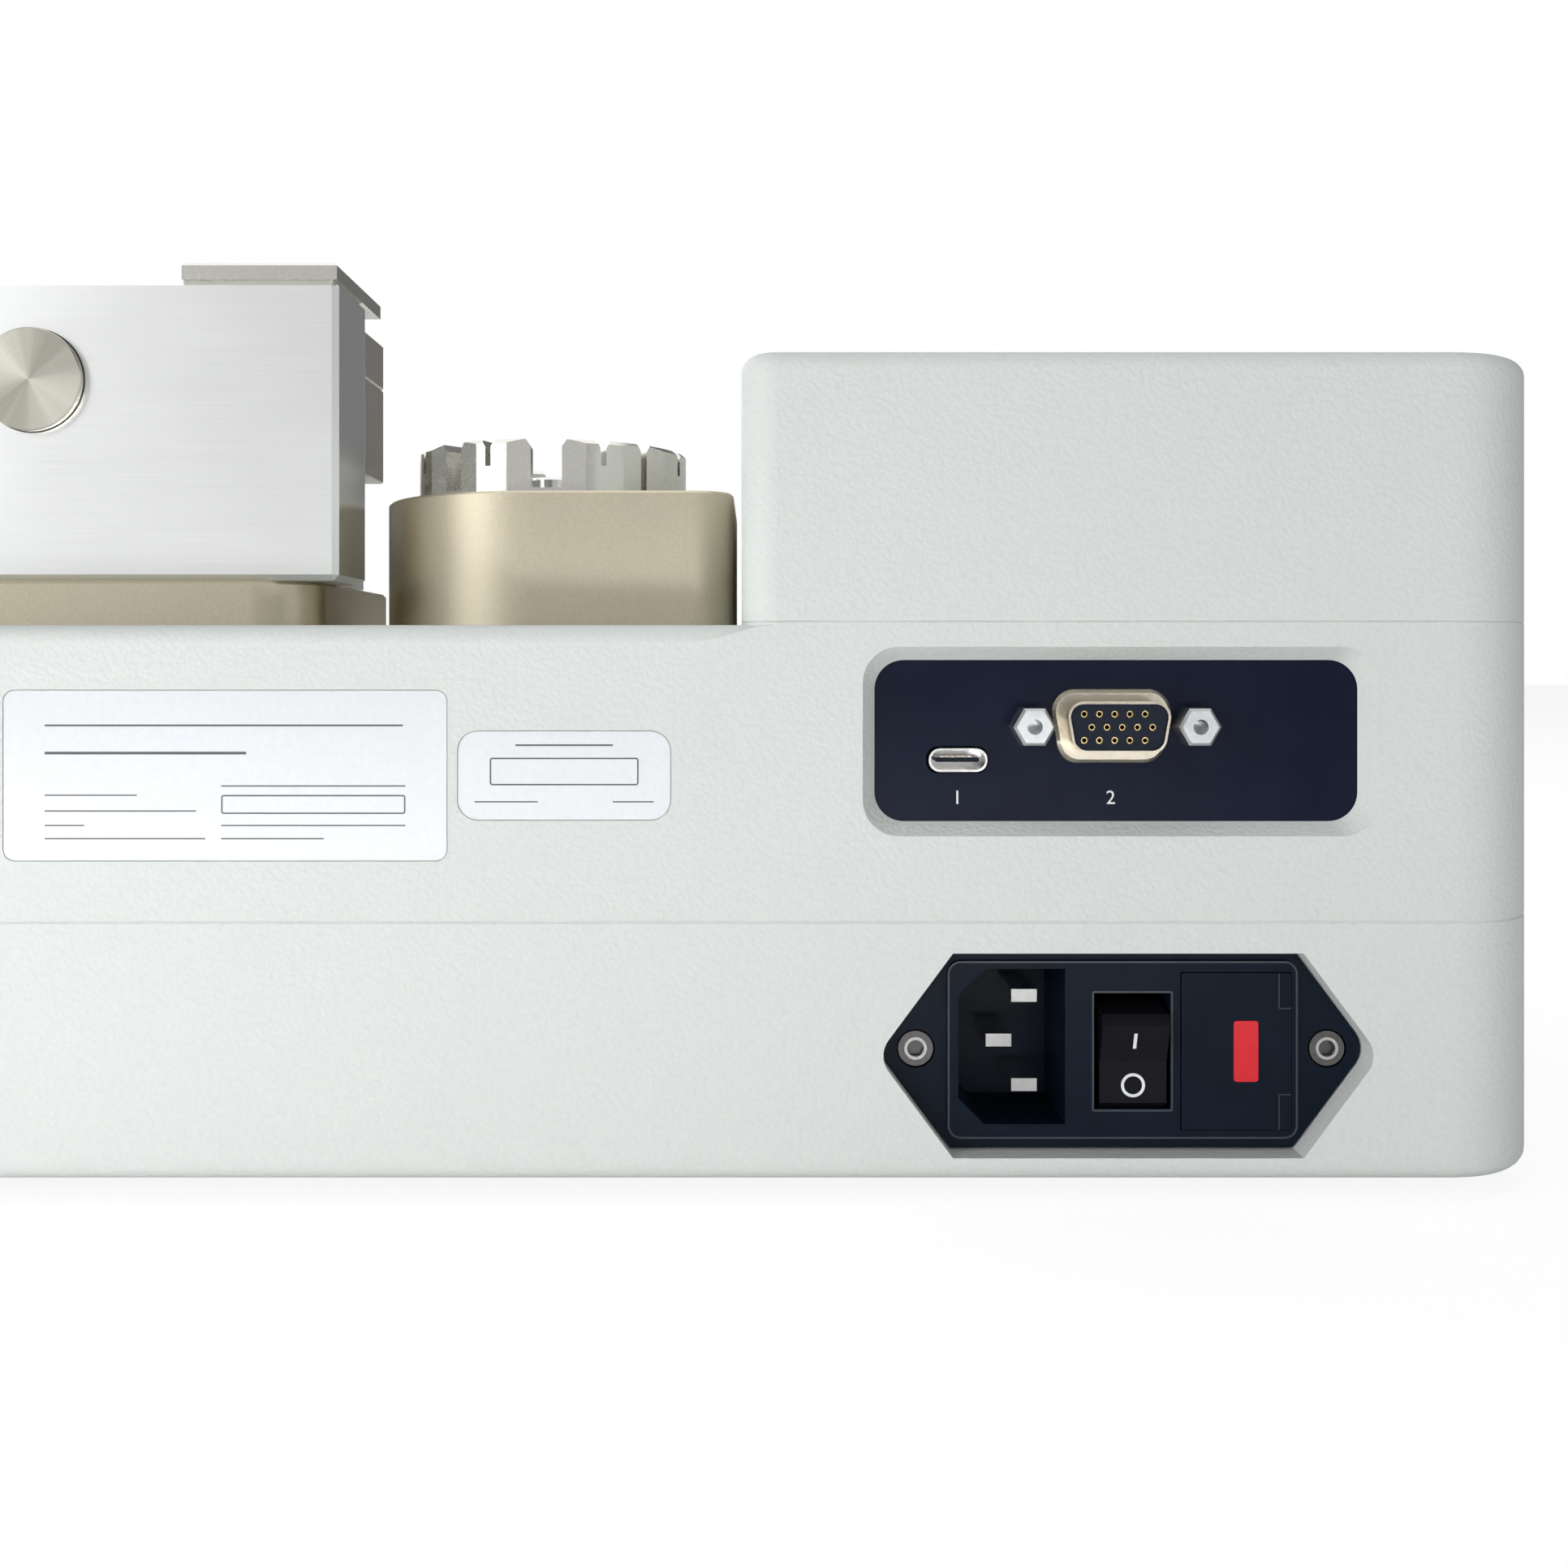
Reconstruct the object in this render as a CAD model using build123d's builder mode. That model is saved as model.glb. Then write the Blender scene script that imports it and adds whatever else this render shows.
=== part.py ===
import os
from math import asin, atan2, cos, degrees, hypot, pi, radians, sin

from build123d import *

os.makedirs("parts", exist_ok=True)

# Motorised pull tester for crimped wire terminals, in millimetres.
# +Z is up and the rear face looks along +Y. The origin is on the table, under the middle of the housing.

# Housing
body_d = 200.0
corner_r = 16.0
wall = 3.0
end_room = 12.0
foot_h = 3.0
foot_r = 8.0
foot_in_x = 28.0
foot_in_y = 25.0
seam_z = 42.6
deck_z = 87.8
head_seam_z = 88.2
head_top_z = 129.7
head_w = 125.1
head_inner_r = 5.5
edge_r = 2.8
base_edge_r = 3.0
seam_bevel = 0.25
slope_run = 105.0
slope_front_h = 7.8
post_gap = 0.8
ramp_l = 8.6

# Fasteners and clearances
part_gap = 0.3
fit_gap = 0.05
seat_gap = 0.02
boss_r = 4.5
shell_screw_r = 2.0
shell_screw_head_r = 3.8
shell_screw_in = 20.0
head_screw_in = 12.0
head_screw_front = 28.0
head_screw_side = 42.0
window_in = 50.0
window_half = 24.0
mount_hole_r = 2.5
mount_spacing_x = 220.0
mount_spacing_y = 120.0

# Wire line and terminal turret
line_in = 60.0
pedestal_gap = 1.7
turret_in = 34.55
turret_r = 25.4
turret_rim_z = 121.4
turret_cup_r = 19.6
turret_floor = 1.1
turret_gap = 0.2
turret_boss_r = 12.0
turret_boss_h = 11.0
turret_screw_r = 3.25
turret_head_r = 5.5
turret_head_h = 4.0
rim_bevel = 0.7
slot_lead = 0.9
pedestal_r = 31.0
pedestal_corner_r = 7.0
pedestal_h = 23.4
pedestal_bevel = 0.4
slot_flat = 4.2
deck_gap = 0.4

# Turret slots: angle from the rear towards the grip, width, depth from the rim (None goes to the floor)
turret_slots = [
    (-3.9, 5.45, None),
    (20.0, 1.1, 4.7),
    (39.5, 4.0, None),
    (62.0, 1.1, 4.5),
    (86.1, 2.2, None),
    (108.6, 1.1, 4.5),
    (131.1, 2.8, None),
    (153.6, 1.1, 4.5),
    (176.1, 6.2, None),
    (-161.4, 1.1, 4.5),
    (-138.9, 3.4, None),
    (-116.4, 1.1, 4.5),
    (-93.9, 1.8, None),
    (-71.4, 1.1, 4.5),
    (-47.0, 1.4, None),
    (-27.0, 1.1, 4.5),
]

# Grip
grip_gap = 2.15
plate_in = 4.8
plate_w = 100.0
plate_t = 8.0
plate_corner_r = 10.0
housing_w = 100.0
housing_t = 19.0
housing_top_z = 147.7
housing_bevel = 1.0
jaw_in = 0.3
jaw_w = 27.2
anvil_t = 14.0
jaw_low_z = 116.6
jaw_split_z = 134.6
jaw_top_z = 143.2
cover_w = 26.6
cover_d = 29.8
cover_t = 3.0
cover_bevel = 0.6
block_in = 11.0
block_end_in = 4.5
block_t = 16.0
front_jaw_t = 5.0
front_jaw_lap = 4.0
jaw_gap = 6.0
jaw_travel = 5.6
wear_t = 2.0
wear_w = 30.0
rod_in = 52.2
rod_z = 130.4
rod_r = 5.0
rod_flat = 8.0
rod_head_r = 8.85
rod_head_out = 1.5
rod_head_h = 6.0
rod_head_gap = 0.15
cam_r = 10.0
cam_h = 22.0
cam_slot_gap = 0.3
cam_pin_r = 2.5
cam_web = 7.6
cam_neck = 16.0
cam_neck_half = 5.0
arm_r = 4.5
arm_reach = 34.0
lever_grip_r = 6.5
lever_grip_l = 44.0
guide_r = 4.0
guide_z = 107.5
guide_in = 14.0
guide_off = 5.5
spring_r = 5.6
spring_wire = 0.9

# Drive
travel = 50.0
lead = 5.0
screw_r = 5.0
screw_z = 63.0
rail_r = 5.0
rail_half = 24.0
frame_t = 8.0
frame_gap = 10.0
frame_half = 36.0
frame_top_z = 80.0
nut_in = 14.7
nut_l = 50.0
nut_half = 34.0
nut_h = 22.0
bush_r = 9.5
bearing_r = 9.5
post_in = 8.0
post_w = 24.0
post_t = 14.0
motor_size = 42.3
motor_l = 48.0
motor_shaft_r = 2.5
motor_pilot_r = 11.0
motor_pilot_h = 2.0
motor_bolt_pitch = 31.0
motor_lift = 0.5
pulley_gap = 3.5
pulley_w = 8.5
pulley_flange = 1.2
small_pulley_r = 6.1
large_pulley_r = 12.45
flange_step = 1.6
belt_gap = 0.15
belt_t = 1.2
load_cell_l = 53.0
load_cell_w = 20.0
load_cell_h = 20.0
load_cell_top_z = 78.0
cell_hole_pitch = 16.0
load_post_r = 8.0
load_post_gap = 1.0

# Rear connectors
io_in = 67.5
io_z = 70.05
io_w = 78.3
io_h = 28.8
io_r = 5.5
io_slope = 2.0
panel_t = 1.6
panel_lap = 4.0
usb_in = 14.75
usb_down = 2.95
usb_w = 9.0
usb_h = 3.6
usb_wall = 0.35
usb_out = 1.0
usb_deep = 8.0
plug_side = 0.8
plug_up = 2.25
plug_bend = 2.4
plug_body_d = 9.0
plug_body_w = 18.0
plug_plate_t = 0.8
plug_face_in = 0.5
plug_collar_w = 19.5
plug_collar_h = 11.2
plug_collar_out = 0.9
collar_gap = 0.1
plug_w = 16.3
plug_h = 7.9
plug_wall = 0.45
plug_out = 5.8
plug_flare = 10.0
plug_holes = 5
plug_pitch = 2.29
plug_row = 1.98
plug_hole_r = 0.55
jack_pitch = 24.99
jack_flats = 5.6
jack_out = 4.8
jack_hole_r = 1.15

# Power inlet
inlet_in = 66.3
inlet_z = 22.3
flange_half = 37.9
flange_flat = 26.5
flange_h = 30.5
flange_tip_r = 4.0
flange_t = 3.0
flange_in = 4.5
frame_w = 54.0
frame_h = 27.4
frame_out = 0.8
inlet_box_w = 55.0
inlet_box_h = 27.0
inlet_box_d = 36.5
socket_side = 17.1
socket_up = 0.5
socket_w = 16.5
socket_h = 24.0
socket_bevel = 4.0
socket_d = 17.0
blade_w = 4.0
blade_t = 2.0
blade_pitch = 14.0
blade_side = 2.6
earth_shift = 4.0
blade_in = 4.0
inlet_screw_pitch = 63.7
inlet_screw_r = 2.7
rocker_side = 1.5
rocker_down = 0.2
rocker_open_w = 11.8
rocker_open_h = 17.9
rocker_w = 10.3
rocker_h = 15.4
rocker_d = 18.0
rocker_end_r = 10.8
rocker_lip = 0.8
rocker_pivot_in = 7.0
rocker_swing = 11.0
rocker_face = 7.6
rocker_vee = 1.41
trunnion_r = 1.0
trunnion_l = 1.2
fuse_side = 17.5
fuse_down = 0.2
fuse_w = 16.9
fuse_h = 24.1
fuse_front_t = 1.2
fuse_tray_d = 34.0
fuse_r = 3.15
fuse_l = 30.0
window_side = 1.5
window_w = 3.8
window_h = 9.4

# Rear plates
rating_gap = 1.75
rating_z = 64.9
rating_w = 67.3
rating_h = 25.8
rating_r = 1.7
serial_in = 26.9
serial_w = 32.2
serial_h = 13.4
serial_r = 3.0
label_t = 0.35
label_in = 0.4
label_gap = 0.15

# Display head
overlay_side = 8.05
overlay_h = 97.0
overlay_t = 1.0
overlay_r = 4.0
screen_side = 12.5
screen_h = 44.0
screen_up = 21.0
glass_t = 0.8
lcd_t = 6.0
lcd_margin = 2.5
key_r = 6.5
key_pitch = 28.0
key_row_down = 14.5
bar_key_w = 30.0
bar_key_h = 11.0
bar_key_pitch = 42.0
bar_row_down = 35.0
key_out = 1.2
key_travel = 1.0
key_flange = 1.2
key_flange_t = 1.2
switch_h = 3.0
switch_w = 6.0
board_t = 1.6
key_board_side = 9.5

# Boards and screws
chassis_t = 2.0
chassis_gap = 10.0
standoff_r = 3.0
standoff_h = 4.0
standoff_in = 5.0
shell_screw_up = 15.0
main_board_in = 24.0
main_board_d = 110.0
main_board_back = 30.0
supply_in = 30.0
supply_w = 80.0
supply_back = 12.0
supply_front = 24.0
driver_w = 60.0
driver_d = 60.0

# Parts on the boards: place and size as shares of the board, then the height
main_parts = [
    (0.15, 0.36, 0.22, 0.16, 1.6),
    (0.52, 0.40, 0.15, 0.07, 1.6),
    (0.80, 0.27, 0.08, 0.36, 8.0),
    (0.13, 0.87, 0.65, 0.07, 9.0),
]
supply_parts = [
    (0.30, 0.38, 0.40, 0.23, 24.0),
    (0.05, 0.17, 0.04, 0.66, 26.0),
    (0.91, 0.17, 0.04, 0.66, 26.0),
    (0.20, 0.82, 0.30, 0.12, 16.0),
    (0.27, 0.08, 0.28, 0.18, 26.0),
]
driver_parts = [
    (0.33, 0.30, 0.43, 0.43, 14.0),
    (0.08, 0.58, 0.17, 0.17, 18.0),
    (0.88, 0.20, 0.10, 0.60, 10.0),
]

# Places worked out from the sizes above
grip_room = grip_gap + plate_in + nut_in + nut_l + travel + frame_gap
body_w = (
    head_w + pedestal_gap + turret_in + pedestal_r + grip_room + frame_t + pulley_gap + pulley_w + end_room
)
back_y = body_d / 2
front_y = -body_d / 2
right_x = body_w / 2
left_x = -body_w / 2
floor_z = foot_h + wall
chassis_z = floor_z + chassis_t
line_y = back_y - line_in
head_x1 = left_x + head_w
head_mid_x = left_x + head_w / 2
pedestal_head_x = head_x1 + pedestal_gap
turret_x = pedestal_head_x + turret_in
housing_x = turret_x + pedestal_r + grip_gap
plate_x = housing_x + plate_in
jaw_x = housing_x + jaw_in
block_x = housing_x + block_in
block_w = housing_w - block_in - block_end_in
rod_x = housing_x + rod_in
nut_x = plate_x + nut_in
post_x = nut_x + post_in
frame_x0 = nut_x - frame_gap
frame_x1 = nut_x + nut_l + travel + frame_gap
pulley_x0 = frame_x1 + frame_t + pulley_gap
io_x = left_x + io_in
usb_x = io_x + io_w / 2 - usb_in
usb_z = io_z - usb_down
plug_x = io_x + plug_side
plug_z = io_z + plug_up
inlet_x = left_x + inlet_in
socket_x = inlet_x + socket_side
socket_z = inlet_z + socket_up
blade_x = socket_x - blade_side
rocker_x = inlet_x - rocker_side
rocker_z = inlet_z - rocker_down
fuse_x = inlet_x - fuse_side
fuse_z = inlet_z - fuse_down
window_x = fuse_x - window_side
serial_x = head_x1 + serial_in
serial_z = rating_z
rating_x = serial_x + serial_w / 2 + rating_gap + rating_w / 2
overlay_w = head_w - 2 * overlay_side
screen_w = overlay_w - 2 * screen_side
key_board_w = overlay_w - 2 * key_board_side
deck_under_z = deck_z - wall
pedestal_z = deck_z + deck_gap
pedestal_top_z = pedestal_z + pedestal_h
turret_z = pedestal_top_z + turret_gap
turret_floor_z = turret_z + turret_floor
plate_z = deck_z + deck_gap
plate_top_z = plate_z + plate_t
plate_back_y = line_y + pedestal_r
plate_d = 2 * pedestal_r
housing_back_y = plate_back_y
housing_face_y = housing_back_y - housing_t
anvil_face_y = housing_face_y - anvil_t
front_jaw_face_y = anvil_face_y - jaw_gap
block_back_y = front_jaw_face_y - front_jaw_t
block_front_y = block_back_y - block_t
wear_face_y = block_front_y - wear_t
cam_y = wear_face_y - cam_r - 2 * fit_gap
frame_y0 = line_y - frame_half
motor_z = chassis_z + motor_lift + motor_size / 2
nut_top_z = screw_z + nut_h / 2
flange_face_y = back_y - flange_in
flange_seat_y = flange_face_y - flange_t
frame_face_y = flange_face_y + frame_out
panel_y = back_y - wall
slope_drop = head_top_z - head_seam_z - slope_front_h
slope_angle = degrees(atan2(slope_drop, slope_run))


def rear(x, z, y):
    """A sketch plane that looks out of the rear face, with its x to the viewer's right and its y up."""
    return Plane(origin=(x, y, z), x_dir=(-1, 0, 0), z_dir=(0, 1, 0))


def save(part, name):
    part.label = name
    export_step(part, f"parts/{name}.step")


def block(x0, x1, y0, y1, z0, z1, mode=Mode.ADD):
    """A box given by its six faces."""
    with Locations(((x0 + x1) / 2, (y0 + y1) / 2, (z0 + z1) / 2)):
        return Box(x1 - x0, y1 - y0, z1 - z0, mode=mode)


def shaft(x0, x1, y, z, radius, mode=Mode.ADD):
    """A round bar along X."""
    with BuildSketch(Plane(origin=(x0, y, z), x_dir=(0, 1, 0), z_dir=(1, 0, 0))) as section:
        Circle(radius)
    return extrude(section.sketch, amount=x1 - x0, mode=mode)


def cross_bar(x, y0, y1, z, radius, mode=Mode.ADD):
    """A round bar along Y."""
    with BuildSketch(rear(x, z, y0)) as section:
        Circle(radius)
    return extrude(section.sketch, amount=y1 - y0, mode=mode)


def upright(x, y, z0, z1, radius, mode=Mode.ADD):
    """A round bar along Z."""
    with BuildSketch(Plane.XY.offset(z0)) as section:
        with Locations((x, y)):
            Circle(radius)
    return extrude(section.sketch, amount=z1 - z0, mode=mode)


def body_outline(z, inset):
    with BuildSketch(Plane.XY.offset(z)) as outline:
        RectangleRounded(body_w - 2 * inset, body_d - 2 * inset, corner_r - inset)
    return outline.sketch


def head_outline(z, inset):
    with BuildSketch(Plane.XY.offset(z)) as outline:
        with Locations((head_mid_x, 0)):
            Rectangle(head_w - 2 * inset, body_d - 2 * inset)
        fillet(outline.vertices().group_by(Axis.X)[0], corner_r - inset)
        fillet(outline.vertices().group_by(Axis.X)[-1], head_inner_r - min(inset, head_inner_r - 1))
    return outline.sketch


# Sloped face of the display head: x to the right for a user at the front, y up the slope, z out of the face
slope_plane = Plane(
    origin=(head_mid_x, front_y + slope_run / 2, head_top_z - slope_drop / 2),
    x_dir=(1, 0, 0),
    z_dir=(0, -sin(radians(slope_angle)), cos(radians(slope_angle))),
)
slope_len = hypot(slope_run, slope_drop)

shell_screw_spots = [
    (sx * (right_x - shell_screw_in), sy * (back_y - shell_screw_in)) for sx in (-1, 1) for sy in (-1, 1)
]
foot_spots = [(sx * (right_x - foot_in_x), sy * (back_y - foot_in_y)) for sx in (-1, 1) for sy in (-1, 1)]
head_screw_spots = [
    (left_x + head_screw_in, front_y + head_screw_front),
    (head_x1 - head_screw_in, front_y + head_screw_front),
    (left_x + head_screw_side, back_y - head_screw_in - 2 * wall),
    (head_x1 - head_screw_in, back_y - head_screw_in - 2 * wall),
]


# Base shell: tray with a thick pad behind the power inlet
def flange_outline(plane, grow):
    """The six-sided flange of the power inlet."""
    half = flange_half + grow
    flat = flange_flat + grow / 2
    high = flange_h / 2 + grow
    with BuildSketch(plane) as outline:
        corners = [(flat, high), (-flat, high), (-half, 0), (-flat, -high), (flat, -high), (half, 0)]
        Polygon(*corners, align=None)
        fillet(outline.vertices().group_by(Axis.X)[0], flange_tip_r)
        fillet(outline.vertices().group_by(Axis.X)[-1], flange_tip_r)
    return outline.sketch


with BuildPart() as base_shell:
    extrude(body_outline(foot_h, 0), amount=seam_z - foot_h)
    fillet(base_shell.faces().sort_by(Axis.Z)[0].edges(), base_edge_r)
    chamfer(base_shell.faces().sort_by(Axis.Z)[-1].edges(), seam_bevel)
    extrude(body_outline(floor_z, wall), amount=seam_z, mode=Mode.SUBTRACT)
    block(
        inlet_x - flange_half - wall,
        inlet_x + flange_half + wall,
        flange_seat_y - wall,
        back_y - wall,
        floor_z,
        inlet_z + flange_h / 2 + wall,
    )
    for x, y in shell_screw_spots:
        upright(x, y, floor_z, seam_z, boss_r)
    for x, y in shell_screw_spots:
        upright(x, y, foot_h, seam_z, shell_screw_r + part_gap, Mode.SUBTRACT)
        upright(x, y, foot_h, foot_h + wall - 1, shell_screw_head_r + part_gap, Mode.SUBTRACT)
    for x, y in foot_spots:
        upright(x, y, foot_h, floor_z, shell_screw_r + part_gap, Mode.SUBTRACT)
    with BuildSketch(Plane.XY.offset(foot_h)):
        with GridLocations(mount_spacing_x, mount_spacing_y, 2, 2):
            Circle(mount_hole_r)
    extrude(amount=wall, mode=Mode.SUBTRACT)
    flange_hole = flange_outline(rear(inlet_x, inlet_z, flange_seat_y), part_gap)
    extrude(flange_hole, amount=back_y, mode=Mode.SUBTRACT)
    with BuildSketch(rear(inlet_x, inlet_z, flange_seat_y - 2 * wall)):
        Rectangle(inlet_box_w + 2 * part_gap, inlet_box_h + 2 * part_gap)
    extrude(amount=3 * wall, mode=Mode.SUBTRACT)
    for side in (-1, 1):
        cross_bar(
            inlet_x + side * inlet_screw_pitch / 2,
            flange_seat_y - 2 * wall,
            flange_seat_y,
            inlet_z,
            shell_screw_r - fit_gap,
            Mode.SUBTRACT,
        )
save(base_shell.part, "base_shell")


# Middle shell: deck, walls, and the low plinth that the head stands on
with BuildPart() as middle_shell:
    extrude(body_outline(seam_z, 0), amount=deck_z - seam_z)
    fillet(middle_shell.faces().sort_by(Axis.Z)[-1].edges(), edge_r)
    chamfer(middle_shell.faces().sort_by(Axis.Z)[0].edges(), seam_bevel)
    extrude(head_outline(deck_z - 2 * edge_r, 0), amount=head_seam_z - deck_z + 2 * edge_r)
    with BuildSketch(rear(head_x1 - head_inner_r, deck_z - edge_r, back_y)):
        with BuildLine():
            Line((0, 0), (0, edge_r))
            Spline(
                (0, edge_r),
                (-ramp_l - head_inner_r, 0),
                tangents=[(-1, 0), (-1, 0)],
            )
            Line((-ramp_l - head_inner_r, 0), (0, 0))
        make_face()
    extrude(amount=-edge_r)
    extrude(body_outline(seam_z, wall), amount=deck_under_z - seam_z, mode=Mode.SUBTRACT)
    for x, y in shell_screw_spots:
        upright(x, y, seam_z, deck_under_z, boss_r)
        upright(x, y, seam_z, deck_under_z - wall, shell_screw_r + seat_gap, Mode.SUBTRACT)
    # Wiring window under the head
    block(
        left_x + window_in,
        head_x1 - window_in,
        -window_half,
        window_half,
        deck_under_z,
        head_seam_z,
        Mode.SUBTRACT,
    )
    for x, y in head_screw_spots:
        upright(x, y, deck_under_z, head_seam_z, shell_screw_r + part_gap, Mode.SUBTRACT)
    # Slot that the carriage post runs in
    block(
        post_x - post_gap,
        post_x + post_w + travel + post_gap,
        line_y - post_t / 2 - post_gap,
        line_y + post_t / 2 + post_gap,
        deck_under_z,
        deck_z,
        Mode.SUBTRACT,
    )
    upright(turret_x, line_y, deck_under_z, deck_z, load_post_r + load_post_gap, Mode.SUBTRACT)
    # Connector recess with sloped walls
    with BuildSketch(rear(io_x, io_z, back_y)):
        RectangleRounded(io_w, io_h, io_r)
    with BuildSketch(rear(io_x, io_z, panel_y)):
        RectangleRounded(io_w - 2 * io_slope, io_h - 2 * io_slope, io_r - io_slope / 2)
    loft(mode=Mode.SUBTRACT)
    # Pockets for the two plates
    with BuildSketch(rear(rating_x, rating_z, back_y)):
        RectangleRounded(rating_w + 2 * label_gap, rating_h + 2 * label_gap, rating_r + label_gap)
    extrude(amount=-label_in, mode=Mode.SUBTRACT)
    with BuildSketch(rear(serial_x, serial_z, back_y)):
        RectangleRounded(serial_w + 2 * label_gap, serial_h + 2 * label_gap, serial_r + label_gap)
    extrude(amount=-label_in, mode=Mode.SUBTRACT)
save(middle_shell.part, "middle_shell")


# Head cover: flat behind, sloping down to the user
key_spots = [
    ("key_down", -key_pitch / 2, -key_row_down, False),
    ("key_up", key_pitch / 2, -key_row_down, False),
    ("key_start", -bar_key_pitch / 2, -bar_row_down, True),
    ("key_stop", bar_key_pitch / 2, -bar_row_down, True),
]


def key_outline(offset, x, y, is_bar, grow):
    """The outline of one key on a plane parallel to the slope."""
    with BuildSketch(slope_plane.offset(offset)) as outline:
        with Locations((x, y)):
            if is_bar:
                RectangleRounded(bar_key_w + 2 * grow, bar_key_h + 2 * grow, bar_key_h / 3 + grow)
            else:
                Circle(key_r + grow)
    return outline.sketch


with BuildPart() as head_inside:
    extrude(head_outline(head_seam_z - wall, wall), amount=head_top_z - head_seam_z)
    split(bisect_by=slope_plane.offset(-wall), keep=Keep.BOTTOM)

with BuildPart() as head_bosses:
    for x, y in head_screw_spots:
        upright(x, y, head_seam_z, head_top_z - wall / 2, boss_r)
    split(bisect_by=slope_plane.offset(-wall / 2), keep=Keep.BOTTOM)
    for x, y in head_screw_spots:
        upright(x, y, head_seam_z, head_seam_z + 2 * wall, shell_screw_r + seat_gap, Mode.SUBTRACT)

key_board_y = -(key_row_down + bar_row_down) / 2
key_board_h = bar_row_down - key_row_down + 2 * key_r + 2
switch_top = -wall - key_flange_t - key_travel - part_gap
key_board_top = switch_top - switch_h

with BuildPart() as head_cover:
    extrude(head_outline(head_seam_z, 0), amount=head_top_z - head_seam_z)
    split(bisect_by=slope_plane, keep=Keep.BOTTOM)
    rims = head_cover.edges().filter_by(lambda edge: edge.center().Z > head_seam_z + 1)
    fillet(rims.filter_by(Axis.Z, reverse=True), edge_r)
    chamfer(head_cover.faces().sort_by(Axis.Z)[0].edges(), seam_bevel)
    add(head_inside.part, mode=Mode.SUBTRACT)
    add(head_bosses.part)
    with BuildSketch(slope_plane):
        RectangleRounded(overlay_w + 2 * label_gap, overlay_h + 2 * label_gap, overlay_r)
    extrude(amount=-overlay_t, mode=Mode.SUBTRACT)
    with BuildSketch(slope_plane):
        with Locations((0, screen_up)):
            Rectangle(screen_w + 2 * lcd_margin + 2 * part_gap, screen_h + 2 * lcd_margin + 2 * part_gap)
    extrude(amount=-2 * wall, mode=Mode.SUBTRACT)
    for name, x, y, is_bar in key_spots:
        extrude(key_outline(0, x, y, is_bar, part_gap), amount=-2 * wall, mode=Mode.SUBTRACT)
    # Pillars that the key board hangs on
    with BuildSketch(slope_plane.offset(-wall + seat_gap)):
        with Locations((0, key_board_y)):
            with GridLocations(key_board_w - standoff_r * 2, key_board_h - standoff_r * 2, 2, 2):
                Circle(standoff_r - 1)
    extrude(amount=key_board_top + wall)
save(head_cover.part, "head_cover")


# Feet and screws
with BuildPart() as rubber_feet:
    for x, y in foot_spots:
        upright(x, y, 0, foot_h, foot_r)
    chamfer(rubber_feet.faces().group_by(Axis.Z)[0].edges(), foot_h / 6)
    for x, y in foot_spots:
        upright(x, y, 0, foot_h / 2, shell_screw_head_r + part_gap, Mode.SUBTRACT)
        upright(x, y, 0, foot_h, shell_screw_r + part_gap, Mode.SUBTRACT)
save(rubber_feet.part, "rubber_feet")


# Steel chassis plate on the floor of the base
with BuildPart() as chassis_plate:
    with BuildSketch(Plane.XY.offset(floor_z)):
        Rectangle(body_w - 2 * wall - 2 * chassis_gap, body_d - 2 * wall - 2 * chassis_gap)
    extrude(amount=chassis_t)
    for x, y in shell_screw_spots:
        upright(x, y, floor_z, chassis_z, boss_r + part_gap, Mode.SUBTRACT)
    for x, y in foot_spots:
        upright(x, y, floor_z, chassis_z, shell_screw_r + seat_gap, Mode.SUBTRACT)
    with BuildSketch(Plane.XY.offset(floor_z)):
        with GridLocations(mount_spacing_x, mount_spacing_y, 2, 2):
            Circle(mount_hole_r)
    extrude(amount=chassis_t, mode=Mode.SUBTRACT)
    block(
        inlet_x - flange_half - wall - part_gap,
        inlet_x + flange_half + wall + part_gap,
        flange_seat_y - wall - part_gap,
        back_y,
        floor_z,
        chassis_z,
        Mode.SUBTRACT,
    )
save(chassis_plate.part, "chassis_plate")


# Drive frame: two uprights that carry the rails, the lead screw, the motor and the load cell
def frame_plate(x0):
    block(x0, x0 + frame_t, line_y - frame_half, line_y + frame_half, chassis_z, frame_top_z)
    for side in (-1, 1):
        shaft(x0, x0 + frame_t, line_y + side * rail_half, screw_z, rail_r + seat_gap, Mode.SUBTRACT)
    shaft(x0, x0 + frame_t, line_y, screw_z, bearing_r + seat_gap, Mode.SUBTRACT)


with BuildPart() as frame_plates:
    frame_plate(frame_x0)
    frame_plate(frame_x1)
    shaft(frame_x1, frame_x1 + frame_t, line_y, motor_z, motor_pilot_r + seat_gap, Mode.SUBTRACT)
    with BuildSketch(Plane(origin=(frame_x1, line_y, motor_z), x_dir=(0, 1, 0), z_dir=(1, 0, 0))):
        with GridLocations(motor_bolt_pitch, motor_bolt_pitch, 2, 2):
            Circle(shell_screw_r)
    extrude(amount=frame_t, mode=Mode.SUBTRACT)
save(frame_plates.part, "frame_plates")

with BuildPart() as guide_rails:
    for side in (-1, 1):
        shaft(frame_x0, frame_x1 + frame_t, line_y + side * rail_half, screw_z, rail_r)
save(guide_rails.part, "guide_rails")

with BuildPart() as screw_bearings:
    for x0 in (frame_x0, frame_x1):
        shaft(x0, x0 + frame_t, line_y, screw_z, bearing_r)
        shaft(x0, x0 + frame_t, line_y, screw_z, screw_r + fit_gap, Mode.SUBTRACT)
save(screw_bearings.part, "screw_bearings")


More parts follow.
